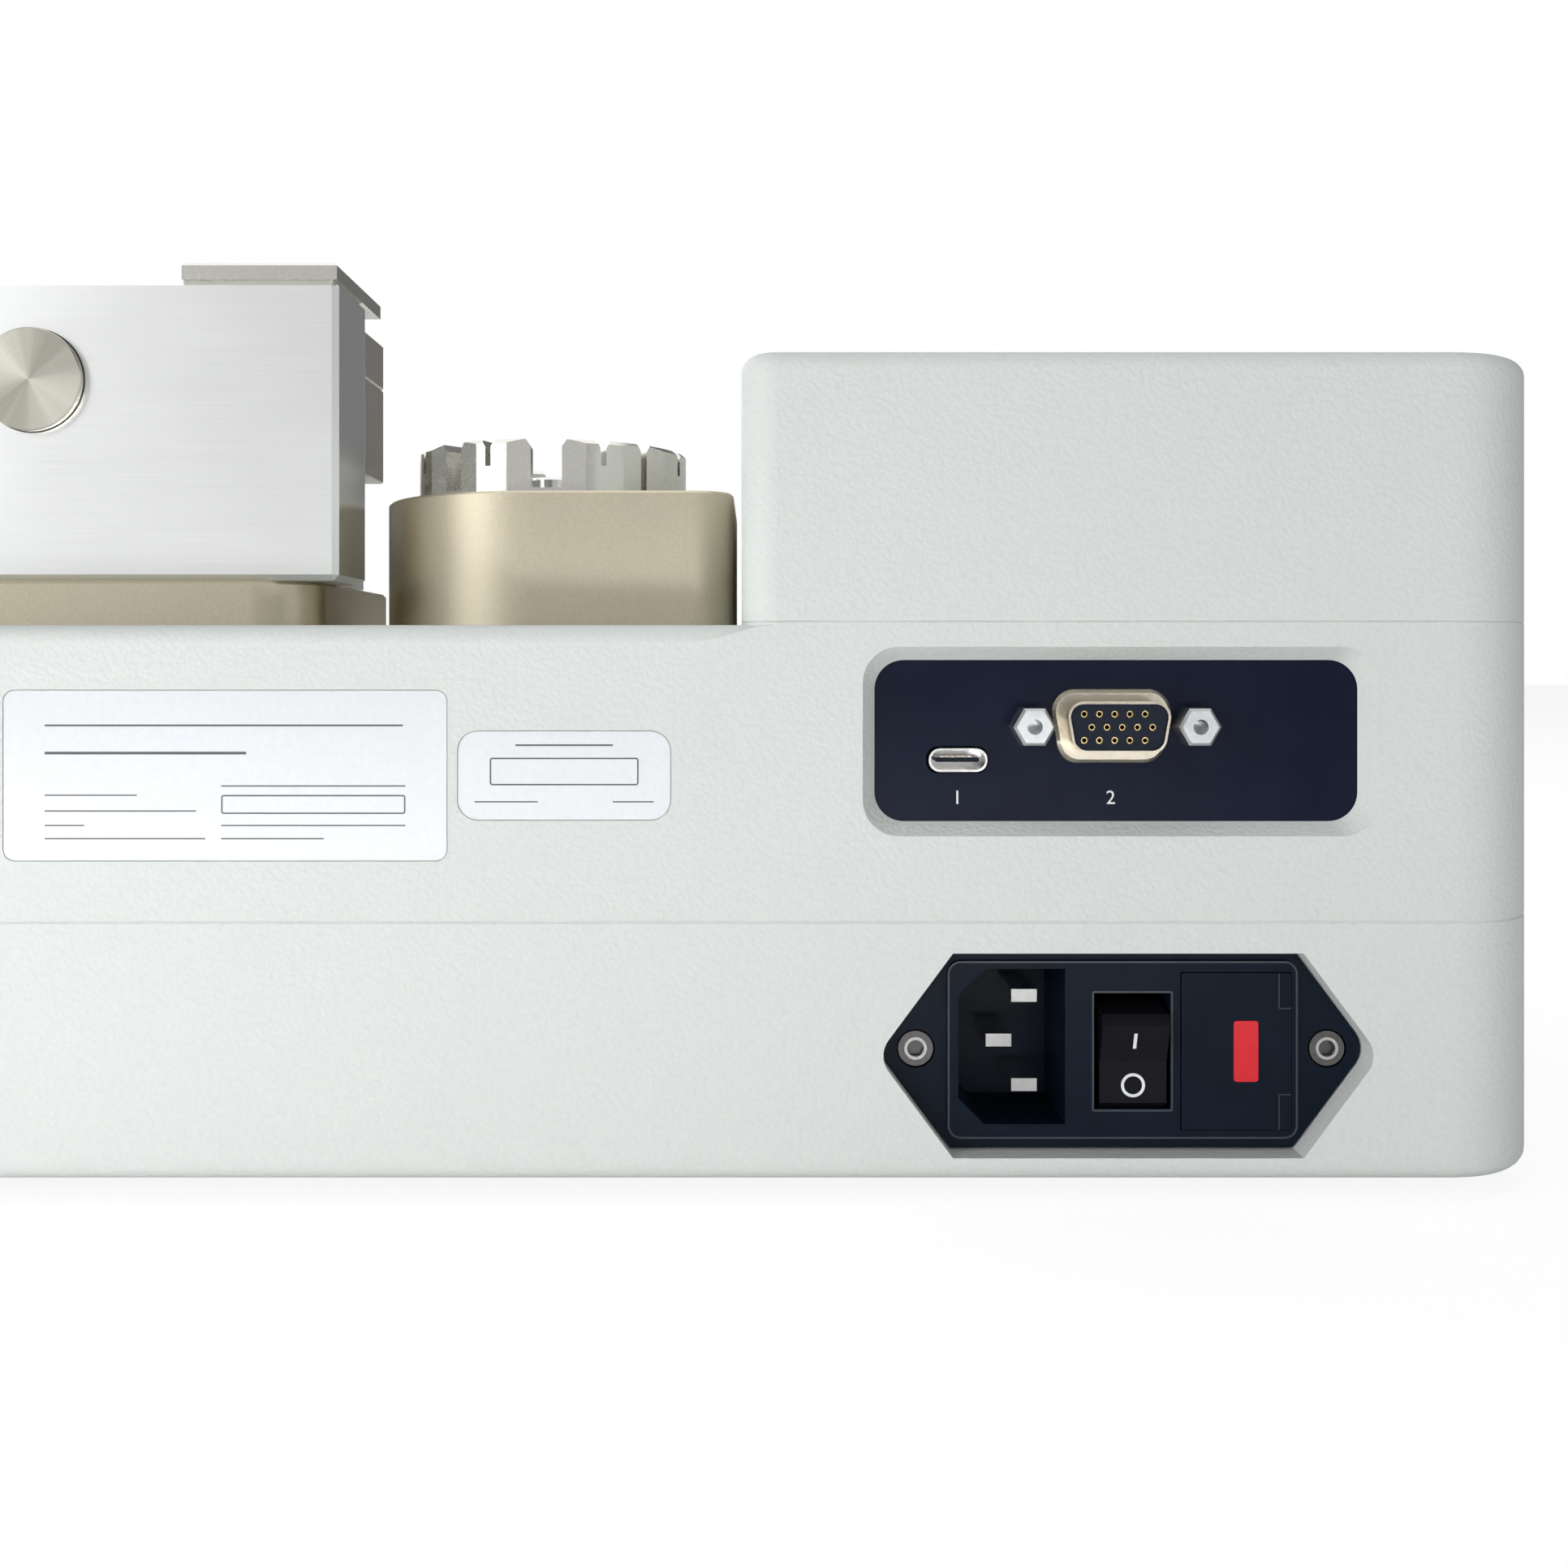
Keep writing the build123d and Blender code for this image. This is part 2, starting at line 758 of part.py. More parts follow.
def pulley(y, z, radius, bore_r):
    """A belt wheel with two flanges."""
    x1 = pulley_x0 + pulley_w
    shaft(pulley_x0, x1, y, z, radius)
    shaft(pulley_x0, pulley_x0 + pulley_flange, y, z, radius + flange_step)
    shaft(x1 - pulley_flange, x1, y, z, radius + flange_step)
    shaft(pulley_x0, x1, y, z, bore_r + seat_gap, Mode.SUBTRACT)


with BuildPart() as lead_screw:
    pulley(line_y, screw_z, large_pulley_r, screw_r)
    shaft(frame_x0 + 1, pulley_x0 + pulley_w, line_y, screw_z, screw_r)
save(lead_screw.part, "lead_screw")

with BuildPart() as motor_shaft:
    pulley(line_y, motor_z, small_pulley_r, motor_shaft_r)
    shaft(frame_x1 - motor_l / 2 + part_gap, pulley_x0 + pulley_w, line_y, motor_z, motor_shaft_r)
save(motor_shaft.part, "motor_shaft")


def belt_loop(grow, mode):
    """The outline of a belt round both wheels, from its two circles and two tangent lines."""
    small = small_pulley_r + grow
    large = large_pulley_r + grow
    rise = screw_z - motor_z
    lean = asin((large - small) / rise)
    side = cos(lean)
    up = sin(lean)
    with BuildSketch(Plane(origin=(pulley_x0, line_y, motor_z), x_dir=(0, 1, 0), z_dir=(1, 0, 0))) as loop:
        with BuildLine():
            Line((small * side, -small * up), (large * side, rise - large * up))
            shoulder_x, shoulder_y = large * side, rise - large * up
            ThreePointArc((shoulder_x, shoulder_y), (0, rise + large), (-shoulder_x, shoulder_y))
            Line((-large * side, rise - large * up), (-small * side, -small * up))
            ThreePointArc((-small * side, -small * up), (0, -small), (small * side, -small * up))
        make_face()
    extrude(loop.sketch, amount=pulley_w - pulley_flange - part_gap, mode=mode)


with BuildPart() as drive_belt:
    belt_loop(belt_gap + belt_t, Mode.ADD)
    belt_loop(belt_gap, Mode.SUBTRACT)
    block(
        pulley_x0,
        pulley_x0 + pulley_flange + part_gap,
        line_y - frame_half,
        line_y + frame_half,
        chassis_z,
        frame_top_z,
        Mode.SUBTRACT,
    )
save(drive_belt.part, "drive_belt")

with BuildPart() as drive_motor:
    block(
        frame_x1 - motor_l,
        frame_x1,
        line_y - motor_size / 2,
        line_y + motor_size / 2,
        motor_z - motor_size / 2,
        motor_z + motor_size / 2,
    )
    chamfer(drive_motor.edges().filter_by(Axis.X), 3)
    shaft(frame_x1, frame_x1 + motor_pilot_h, line_y, motor_z, motor_pilot_r)
    bore_r = motor_shaft_r + fit_gap
    shaft(frame_x1 - motor_l / 2, frame_x1 + motor_pilot_h, line_y, motor_z, bore_r, Mode.SUBTRACT)
    with BuildSketch(Plane(origin=(frame_x1, line_y, motor_z), x_dir=(0, 1, 0), z_dir=(1, 0, 0))):
        with GridLocations(motor_bolt_pitch, motor_bolt_pitch, 2, 2):
            Circle(shell_screw_r - 2 * seat_gap)
    extrude(amount=-8, mode=Mode.SUBTRACT)
save(drive_motor.part, "drive_motor")


# Load cell under the turret, and the pedestal that stands on it by its stem
load_cell_x0 = frame_x0 - load_cell_l
with BuildPart() as load_cell:
    block(
        load_cell_x0,
        frame_x0,
        line_y - load_cell_w / 2,
        line_y + load_cell_w / 2,
        load_cell_top_z - load_cell_h,
        load_cell_top_z,
    )
    hole_x = frame_x0 - (load_cell_l - cell_hole_pitch / 2) / 2
    with BuildSketch(rear(hole_x, load_cell_top_z - load_cell_h / 2, line_y - load_cell_w)):
        with GridLocations(cell_hole_pitch, 0, 2, 1):
            Circle(load_cell_h / 3)
        Rectangle(cell_hole_pitch, load_cell_h / 4)
    extrude(amount=2 * load_cell_w, mode=Mode.SUBTRACT)
save(load_cell.part, "load_cell")

with BuildPart() as fixture_pedestal:
    with BuildSketch(Plane.XY.offset(pedestal_z)) as plan:
        with Locations((turret_x, line_y)):
            Circle(pedestal_r)
        with Locations(((turret_x + pedestal_head_x) / 2, line_y)):
            Rectangle(turret_x - pedestal_head_x, 2 * pedestal_r)
        fillet(plan.vertices().group_by(Axis.X)[0], pedestal_corner_r)
    extrude(amount=pedestal_h)
    chamfer(fixture_pedestal.faces().sort_by(Axis.Z)[-1].edges(), pedestal_bevel)
    upright(turret_x, line_y, load_cell_top_z, pedestal_z, load_post_r)
    upright(
        turret_x,
        line_y,
        turret_z - turret_boss_h - part_gap,
        pedestal_top_z,
        turret_boss_r + fit_gap,
        Mode.SUBTRACT,
    )
    upright(
        turret_x,
        line_y,
        pedestal_z + pedestal_bevel,
        pedestal_top_z,
        turret_screw_r + seat_gap,
        Mode.SUBTRACT,
    )
save(fixture_pedestal.part, "fixture_pedestal")


# Terminal turret: a slotted cup that turns on its screw
def slot_plane(angle, z):
    """A plane on the turret's axis with its x along the slot."""
    way = radians(angle)
    return Plane(origin=(turret_x, line_y, z), x_dir=(sin(way), cos(way), 0), z_dir=(0, 0, 1))


def slot_end_plane(angle, z):
    """A plane across the slot's own line, for the vee at its mouth."""
    way = radians(angle)
    return Plane(origin=(turret_x, line_y, z), x_dir=(-cos(way), sin(way), 0), z_dir=(sin(way), cos(way), 0))


with BuildPart() as turret:
    upright(turret_x, line_y, turret_z, turret_rim_z, turret_r)
    upright(turret_x, line_y, turret_floor_z, turret_rim_z, turret_cup_r, Mode.SUBTRACT)
    chamfer(turret.faces().sort_by(Axis.Z)[-1].edges(), rim_bevel)
    upright(turret_x, line_y, turret_z - turret_boss_h, turret_z, turret_boss_r)
    upright(
        turret_x,
        line_y,
        turret_z - turret_boss_h,
        turret_floor_z,
        turret_screw_r + fit_gap,
        Mode.SUBTRACT,
    )
    for angle, width, depth in turret_slots:
        deep = depth or turret_rim_z - turret_floor_z
        if depth is None:
            half = width / 2 + slot_flat
            with BuildSketch(slot_end_plane(angle, turret_rim_z).offset((turret_r**2 - half**2) ** 0.5)):
                Rectangle(2 * turret_r, 2 * turret_r)
            extrude(amount=turret_r, mode=Mode.SUBTRACT)
        with BuildSketch(slot_plane(angle, turret_rim_z - deep)):
            with Locations(((turret_cup_r + turret_r) / 2, 0)):
                Rectangle(2 * (turret_r - turret_cup_r), width)
        extrude(amount=deep + 1, mode=Mode.SUBTRACT)
        with BuildSketch(slot_end_plane(angle, turret_rim_z).offset(turret_cup_r - 2)):
            mouth = width / 2 + slot_lead
            Polygon((mouth, 0), (-mouth, 0), (0, -mouth * 1.4), align=None)
        extrude(amount=turret_r - turret_cup_r + 4, mode=Mode.SUBTRACT)
save(turret.part, "terminal_turret")

with BuildPart() as turret_screw:
    upright(turret_x, line_y, pedestal_z + 2, turret_floor_z + turret_gap, turret_screw_r)
    upright(
        turret_x,
        line_y,
        turret_floor_z + turret_gap,
        turret_floor_z + turret_gap + turret_head_h,
        turret_head_r,
    )
    chamfer(turret_screw.faces().sort_by(Axis.Z)[-1].edges(), 0.5)
    with BuildSketch(Plane.XY.offset(turret_floor_z + turret_gap + turret_head_h)):
        with Locations((turret_x, line_y)):
            RegularPolygon(2.3, 6)
    extrude(amount=-2.5, mode=Mode.SUBTRACT)
save(turret_screw.part, "turret_screw")


# Carriage: nut block on the rails, post through the deck, base plate
nut_z0 = screw_z - nut_h / 2
with BuildPart() as nut_block:
    block(nut_x, nut_x + nut_l, line_y - nut_half, line_y + nut_half, nut_z0, nut_top_z)
    for side in (-1, 1):
        shaft(nut_x, nut_x + nut_l, line_y + side * rail_half, screw_z, bush_r + seat_gap, Mode.SUBTRACT)
    shaft(nut_x, nut_x + nut_l, line_y, screw_z, bearing_r + seat_gap, Mode.SUBTRACT)
save(nut_block.part, "nut_block")

with BuildPart() as rail_bushes:
    for side in (-1, 1):
        shaft(nut_x, nut_x + nut_l, line_y + side * rail_half, screw_z, bush_r)
        shaft(nut_x, nut_x + nut_l, line_y + side * rail_half, screw_z, rail_r + fit_gap, Mode.SUBTRACT)
    shaft(nut_x, nut_x + nut_l, line_y, screw_z, bearing_r)
    shaft(nut_x, nut_x + nut_l, line_y, screw_z, screw_r + fit_gap, Mode.SUBTRACT)
save(rail_bushes.part, "drive_nut_and_bushes")

with BuildPart() as carriage_post:
    block(post_x, post_x + post_w, line_y - post_t / 2, line_y + post_t / 2, nut_top_z, plate_z)
save(carriage_post.part, "carriage_post")

guide_spots = [rod_x - guide_off, block_x + block_w - guide_in]
housing_screw_spots = [housing_x + housing_t, sum(guide_spots) / 2]
cover_screw_spots = [jaw_x + 6, jaw_x + cover_w - 6]
housing_mid_y = housing_back_y - housing_t / 2
with BuildPart() as grip_base_plate:
    with BuildSketch(Plane.XY.offset(plate_z)):
        with Locations((plate_x + plate_w / 2, plate_back_y - plate_d / 2)):
            RectangleRounded(plate_w, plate_d, plate_corner_r)
    extrude(amount=plate_t)
    chamfer(grip_base_plate.faces().sort_by(Axis.Z)[-1].edges(), 2 * part_gap)
    for x in housing_screw_spots:
        upright(x, housing_mid_y, plate_z, plate_top_z, shell_screw_r + part_gap, Mode.SUBTRACT)
        upright(
            x,
            housing_mid_y,
            plate_z,
            plate_z + 4,
            shell_screw_head_r + part_gap,
            Mode.SUBTRACT,
        )
save(grip_base_plate.part, "grip_base_plate")

with BuildPart() as grip_housing:
    block(housing_x, housing_x + housing_w, housing_face_y, housing_back_y, plate_top_z, housing_top_z)
    chamfer(grip_housing.edges(), housing_bevel)
    cross_bar(rod_x, housing_face_y, housing_back_y, rod_z, rod_r + fit_gap, Mode.SUBTRACT)
    cross_bar(
        rod_x,
        housing_back_y - rod_head_h + rod_head_out,
        housing_back_y,
        rod_z,
        rod_head_r + rod_head_gap,
        Mode.SUBTRACT,
    )
    for x in guide_spots:
        cross_bar(x, housing_face_y, housing_back_y - 3, guide_z, guide_r + seat_gap, Mode.SUBTRACT)
    for x in housing_screw_spots:
        upright(
            x,
            housing_mid_y,
            plate_top_z,
            plate_top_z + 13,
            shell_screw_r + seat_gap,
            Mode.SUBTRACT,
        )
    for x in cover_screw_spots:
        upright(x, housing_mid_y, housing_top_z - 8, housing_top_z, 1.5 + seat_gap, Mode.SUBTRACT)
save(grip_housing.part, "grip_housing")


with BuildPart() as anvil_jaws:
    for z0, z1 in ((jaw_low_z, jaw_split_z), (jaw_split_z, jaw_top_z)):
        block(jaw_x, jaw_x + jaw_w, anvil_face_y, housing_face_y, z0 + seat_gap, z1)
    chamfer(anvil_jaws.edges(), part_gap)
save(anvil_jaws.part, "anvil_jaws")

with BuildPart() as cover_plate:
    block(
        jaw_x - 0.2,
        jaw_x - 0.2 + cover_w,
        housing_back_y - cover_d,
        housing_back_y,
        housing_top_z,
        housing_top_z + cover_t,
    )
    chamfer(cover_plate.faces().sort_by(Axis.Z)[-1].edges(), cover_bevel)
    for x in cover_screw_spots:
        upright(x, housing_mid_y, housing_top_z, housing_top_z + cover_t, 1.7, Mode.SUBTRACT)
        upright(
            x,
            housing_mid_y,
            housing_top_z + 1.2,
            housing_top_z + cover_t,
            3.0,
            Mode.SUBTRACT,
        )
save(cover_plate.part, "jaw_cover_plate")

with BuildPart() as grip_screws:
    for x in housing_screw_spots:
        upright(x, housing_mid_y, plate_z + part_gap, plate_z + 4, shell_screw_head_r)
        upright(x, housing_mid_y, plate_z + 4, plate_top_z + 12, shell_screw_r)
    for x in cover_screw_spots:
        upright(x, housing_mid_y, housing_top_z - 7, housing_top_z + 1.2, 1.5)
        upright(x, housing_mid_y, housing_top_z + 1.2, housing_top_z + cover_t - part_gap, 2.8)
    for x in cover_screw_spots:
        with BuildSketch(Plane.XY.offset(housing_top_z + cover_t - part_gap)):
            with Locations((x, housing_mid_y)):
                RegularPolygon(1.3, 6)
        extrude(amount=-1, mode=Mode.SUBTRACT)
save(grip_screws.part, "grip_screws")

# Pull rod with its round head at the rear and a flat eye for the cam pin in front
with BuildPart() as clamp_rod:
    cross_bar(rod_x, cam_y - rod_r, housing_back_y, rod_z, rod_r)
    eye_end = block_front_y + 1.2 * jaw_travel
    for sign in (-1, 1):
        low, high = sorted((rod_z + sign * rod_flat / 2, rod_z + sign * 2 * rod_r))
        block(rod_x - 2 * rod_r, rod_x + 2 * rod_r, cam_y - 2 * rod_r, eye_end, low, high, Mode.SUBTRACT)
    head_end = housing_back_y + rod_head_out
    cross_bar(rod_x, head_end - rod_head_h, head_end, rod_z, rod_head_r)
    chamfer(clamp_rod.faces().sort_by(Axis.Y)[-1].edges(), rod_head_gap)
    upright(rod_x, cam_y, rod_z - rod_r, rod_z + rod_r, cam_pin_r + seat_gap, Mode.SUBTRACT)
save(clamp_rod.part, "clamp_rod")

with BuildPart() as cam_pin:
    upright(rod_x, cam_y, rod_z - cam_h / 2 - 0.5, rod_z + cam_h / 2 + 0.5, cam_pin_r)
save(cam_pin.part, "cam_pin")

with BuildPart() as guide_pins:
    for x in guide_spots:
        cross_bar(x, block_front_y, housing_back_y - 3, guide_z, guide_r)
save(guide_pins.part, "guide_pins")


# Front block: slides on the guide pins and carries the moving jaw
with BuildPart() as clamp_block:
    block(block_x, block_x + block_w, block_front_y, block_back_y, plate_top_z + part_gap, jaw_top_z)
    chamfer(clamp_block.edges(), housing_bevel)
    cross_bar(rod_x, block_front_y, block_back_y, rod_z, rod_r + 2 * fit_gap, Mode.SUBTRACT)
    for x in guide_spots:
        cross_bar(x, block_front_y, block_back_y, guide_z, guide_r + fit_gap, Mode.SUBTRACT)
        cross_bar(x, block_back_y - 4, block_back_y, guide_z, spring_r + part_gap, Mode.SUBTRACT)
save(clamp_block.part, "clamp_block")

with BuildPart() as front_jaw:
    block(block_x - front_jaw_lap, jaw_x + jaw_w, block_back_y, front_jaw_face_y, jaw_low_z, jaw_top_z)
    chamfer(front_jaw.edges(), part_gap)
save(front_jaw.part, "moving_jaw")

with BuildPart() as wear_plate:
    block(
        rod_x - wear_w / 2,
        rod_x + wear_w / 2,
        wear_face_y,
        block_front_y,
        rod_z - cam_h / 2,
        rod_z + cam_h / 2,
    )
    chamfer(wear_plate.edges().filter_by(Axis.Y), wear_t)
    cross_bar(rod_x, wear_face_y, block_front_y, rod_z, rod_r + 2 * fit_gap, Mode.SUBTRACT)
save(wear_plate.part, "cam_wear_plate")

# Return springs round the guide pins, as plain sleeves of the coil's size
with BuildPart() as jaw_springs:
    for x in guide_spots:
        cross_bar(x, block_back_y - 4, housing_face_y, guide_z, spring_r)
        cross_bar(x, block_back_y - 4, housing_face_y, guide_z, spring_r - spring_wire, Mode.SUBTRACT)
save(jaw_springs.part, "jaw_springs")


# Cam lever: its rim is the involute whose reach grows evenly with the turn
cam_rate = jaw_travel / (pi / 2)


def cam_point(angle):
    """The rim point that touches the wear plate when the plate lies this way from the lever's own line."""
    reach = cam_r + cam_rate * (pi - angle)
    return (
        reach * cos(angle) + cam_rate * sin(angle),
        reach * sin(angle) - cam_rate * cos(angle),
    )


lever_plane = Plane(origin=(rod_x, cam_y, rod_z), x_dir=(0, -1, 0), z_dir=(0, 0, 1))
cam_steps = 8
with BuildPart() as cam_lever:
    rim = [cam_point(pi - i * pi / 2 / cam_steps) for i in range(cam_steps + 1)]
    with BuildSketch(lever_plane.offset(-cam_h / 2)):
        with BuildLine():
            Line((-cam_r, 0), rim[0])
            Spline(*rim)
            Line(rim[-1], (cam_neck, cam_neck_half))
            Line((cam_neck, cam_neck_half), (cam_neck, -cam_neck_half))
            Line((cam_neck, -cam_neck_half), (0, -cam_r))
            ThreePointArc((0, -cam_r), (-cam_r * sin(pi / 4), -cam_r * sin(pi / 4)), (-cam_r, 0))
        make_face()
    extrude(amount=cam_h)
    slot_half = rod_flat / 2 + cam_slot_gap
    with BuildSketch(lever_plane.offset(-slot_half)):
        with Locations((cam_web - 2 * cam_neck, 0)):
            Rectangle(4 * cam_neck, 4 * cam_neck)
    extrude(amount=2 * slot_half, mode=Mode.SUBTRACT)
    upright(rod_x, cam_y, rod_z - cam_h, rod_z + cam_h, cam_pin_r + fit_gap, Mode.SUBTRACT)
    cross_bar(rod_x, cam_y - arm_reach, cam_y - cam_neck + 1, rod_z, arm_r)
save(cam_lever.part, "cam_lever")

grip_y1 = cam_y - cam_neck - 6
with BuildPart() as lever_grip:
    cross_bar(rod_x, grip_y1 - lever_grip_l, grip_y1, rod_z, lever_grip_r)
    fillet(lever_grip.faces().sort_by(Axis.Y)[0].edges(), lever_grip_r * 0.6)
    fillet(lever_grip.faces().sort_by(Axis.Y)[-1].edges(), lever_grip_r * 0.3)
    cross_bar(rod_x, cam_y - arm_reach - part_gap, grip_y1, rod_z, arm_r + seat_gap, Mode.SUBTRACT)
save(lever_grip.part, "lever_grip")


# Connector panel
def d_outline(plane, width, height, bend_r):
    """The outline of a D-shaped connector, wide side up."""
    flare = height * sin(radians(plug_flare))
    with BuildSketch(plane) as outline:
        Polygon(
            (width / 2, height / 2),
            (-width / 2, height / 2),
            (-width / 2 + flare, -height / 2),
            (width / 2 - flare, -height / 2),
            align=None,
        )
        fillet(outline.vertices(), bend_r)
    return outline.sketch


with BuildPart() as io_panel:
    with BuildSketch(rear(io_x, io_z, panel_y)):
        RectangleRounded(io_w + panel_lap, io_h, io_r)
    extrude(amount=-panel_t)
    with BuildSketch(rear(usb_x, usb_z, panel_y)):
        RectangleRounded(usb_w + 2 * part_gap, usb_h + 2 * part_gap, usb_h / 2)
    extrude(amount=-panel_t, mode=Mode.SUBTRACT)
    hole_w, hole_h = plug_collar_w + 2 * collar_gap, plug_collar_h + 2 * collar_gap
    collar_hole = d_outline(rear(plug_x, plug_z, panel_y), hole_w, hole_h, plug_bend + 1)
    extrude(collar_hole, amount=-panel_t, mode=Mode.SUBTRACT)
    for side in (-1, 1):
        cross_bar(plug_x + side * jack_pitch / 2, panel_y - panel_t, panel_y, plug_z, 1.6, Mode.SUBTRACT)
save(io_panel.part, "io_panel")

plug_back_y = panel_y - panel_t
with BuildPart() as plug_shell:
    with BuildSketch(rear(plug_x, plug_z, plug_back_y)):
        Rectangle(jack_pitch + 6, plug_collar_h + 1.3)
    extrude(amount=-plug_plate_t)
    collar = d_outline(rear(plug_x, plug_z, plug_back_y - 0.4), plug_collar_w, plug_collar_h, plug_bend + 1)
    extrude(collar, amount=panel_t + 0.4 + plug_collar_out)
    chamfer(plug_shell.faces().sort_by(Axis.Y)[-1].edges(), 0.5)
    extrude(d_outline(rear(plug_x, plug_z, panel_y), plug_w, plug_h, plug_bend), amount=plug_out)
    extrude(
        d_outline(
            rear(plug_x, plug_z, plug_back_y - 2),
            plug_w - 2 * plug_wall,
            plug_h - 2 * plug_wall,
            plug_bend - plug_wall,
        ),
        amount=4 * plug_out, mode=Mode.SUBTRACT,
    )
    for side in (-1, 1):
        cross_bar(plug_x + side * jack_pitch / 2, plug_back_y - 1, plug_back_y, plug_z, 1.6, Mode.SUBTRACT)
save(plug_shell.part, "io_connector_shell")

with BuildPart() as plug_insert:
    with BuildSketch(rear(plug_x, plug_z, plug_back_y - plug_plate_t)):
        Rectangle(plug_body_w, plug_collar_h)
    extrude(amount=-plug_body_d)
    extrude(
        d_outline(
            rear(plug_x, plug_z, plug_back_y - plug_plate_t),
            plug_w - 2 * plug_wall - 0.1,
            plug_h - 2 * plug_wall - 0.1,
            plug_bend - plug_wall,
        ),
        amount=panel_t + plug_plate_t + plug_out - plug_face_in,
    )
    with BuildSketch(rear(plug_x, plug_z, panel_y + plug_out - plug_face_in)):
        for row, shift in ((1, 0), (0, plug_pitch / 2), (-1, 0)):
            for i in range(plug_holes):
                hole_x = shift + (i - (plug_holes - 1) / 2) * plug_pitch - plug_pitch / 4
                with Locations((hole_x, row * plug_row)):
                    Circle(plug_hole_r)
    extrude(amount=-5, mode=Mode.SUBTRACT)
save(plug_insert.part, "io_connector_insert")

with BuildPart() as jackscrews:
    for side in (-1, 1):
        with BuildSketch(rear(plug_x + side * jack_pitch / 2, plug_z, panel_y)):
            RegularPolygon(jack_flats / 2, 6, major_radius=False)
        extrude(amount=jack_out)
    chamfer(jackscrews.faces().group_by(Axis.Y)[-1].edges(), 0.4)
    for side in (-1, 1):
        cross_bar(plug_x + side * jack_pitch / 2, plug_back_y - 5, panel_y, plug_z, 1.5)
        cross_bar(
            plug_x + side * jack_pitch / 2,
            panel_y,
            panel_y + jack_out,
            plug_z,
            jack_hole_r,
            Mode.SUBTRACT,
        )
save(jackscrews.part, "io_jackscrews")

with BuildPart() as usb_shell:
    with BuildSketch(rear(usb_x, usb_z, panel_y + usb_out)):
        RectangleRounded(usb_w, usb_h, usb_h / 2 - 0.05)
    extrude(amount=-usb_deep)
    with BuildSketch(rear(usb_x, usb_z, panel_y + usb_out)):
        RectangleRounded(usb_w - 2 * usb_wall, usb_h - 2 * usb_wall, usb_h / 2 - usb_wall - 0.05)
    extrude(amount=-usb_deep + 1, mode=Mode.SUBTRACT)
save(usb_shell.part, "usb_port_shell")

with BuildPart() as usb_tongue:
    with BuildSketch(rear(usb_x, usb_z, panel_y + usb_out - 1)):
        RectangleRounded(usb_w - 2.3, 0.7, 0.3)
    extrude(amount=-usb_deep + 2)
save(usb_tongue.part, "usb_port_tongue")

io_board_y = panel_y + usb_out - usb_deep
with BuildPart() as io_board:
    block(
        io_x - io_w / 2 + 2,
        io_x + io_w / 2 - 2,
        io_board_y - board_t,
        io_board_y,
        io_z - io_h / 2,
        io_z + io_h / 2,
    )
    with BuildSketch(rear(plug_x, plug_z, io_board_y - 2 * board_t)):
        Rectangle(plug_body_w + 2 * part_gap, plug_collar_h + 2 * part_gap)
    extrude(amount=3 * board_t, mode=Mode.SUBTRACT)
    for side in (-1, 1):
        cross_bar(plug_x + side * jack_pitch / 2, io_board_y - 3, io_board_y, plug_z, 1.7, Mode.SUBTRACT)
save(io_board.part, "io_board")


# Power inlet with socket, switch opening and fuse pocket
rocker_pivot_y = frame_face_y - rocker_pivot_in
with BuildPart() as inlet_body:
    extrude(flange_outline(rear(inlet_x, inlet_z, flange_seat_y), 0), amount=flange_t)
    with BuildSketch(rear(inlet_x, inlet_z, flange_face_y)):
        RectangleRounded(frame_w, frame_h, 2)
    extrude(amount=frame_out)
    with BuildSketch(rear(inlet_x, inlet_z, flange_seat_y)):
        Rectangle(inlet_box_w, inlet_box_h)
    extrude(amount=-inlet_box_d)
    with BuildSketch(rear(socket_x, socket_z, frame_face_y)) as socket_outline:
        Rectangle(socket_w, socket_h)
        chamfer(socket_outline.vertices().group_by(Axis.X)[0], socket_bevel)
    extrude(amount=-socket_d, mode=Mode.SUBTRACT)
    with BuildSketch(rear(rocker_x, rocker_z, frame_face_y)):
        Rectangle(rocker_open_w, rocker_open_h)
    extrude(amount=-3, mode=Mode.SUBTRACT)
    with BuildSketch(rear(rocker_x, rocker_z, frame_face_y - rocker_lip)):
        Rectangle(rocker_open_w, rocker_open_h + 5)
    extrude(amount=-18, mode=Mode.SUBTRACT)
    shaft(
        rocker_x - rocker_open_w / 2 - 1,
        rocker_x + rocker_open_w / 2 + 1,
        rocker_pivot_y,
        rocker_z,
        trunnion_r + fit_gap,
        Mode.SUBTRACT,
    )
    with BuildSketch(rear(fuse_x, fuse_z, frame_face_y)):
        Rectangle(fuse_w + 2 * fit_gap + 0.2, fuse_h + 2 * fit_gap + 0.2)
    extrude(amount=-fuse_front_t, mode=Mode.SUBTRACT)
    with BuildSketch(rear(fuse_x, fuse_z, frame_face_y)):
        Rectangle(fuse_w - 2 + 2 * part_gap, fuse_h - 2 + 2 * part_gap)
    extrude(amount=-fuse_front_t - fuse_tray_d - 1, mode=Mode.SUBTRACT)
    for side in (-1, 1):
        x = inlet_x + side * inlet_screw_pitch / 2
        cross_bar(x, flange_seat_y, flange_face_y, inlet_z, shell_screw_r + part_gap, Mode.SUBTRACT)
        cross_bar(x, flange_face_y - 1.5, flange_face_y, inlet_z, inlet_screw_r + part_gap, Mode.SUBTRACT)
save(inlet_body.part, "power_inlet_body")

with BuildPart() as inlet_pins:
    y1 = frame_face_y - blade_in
    y0 = frame_face_y - socket_d
    for x, z in (
        (blade_x, socket_z + blade_pitch / 2),
        (blade_x, socket_z - blade_pitch / 2),
        (blade_x + earth_shift, socket_z),
    ):
        block(x - blade_w / 2, x + blade_w / 2, y0, y1, z - blade_t / 2, z + blade_t / 2)
save(inlet_pins.part, "power_inlet_pins")

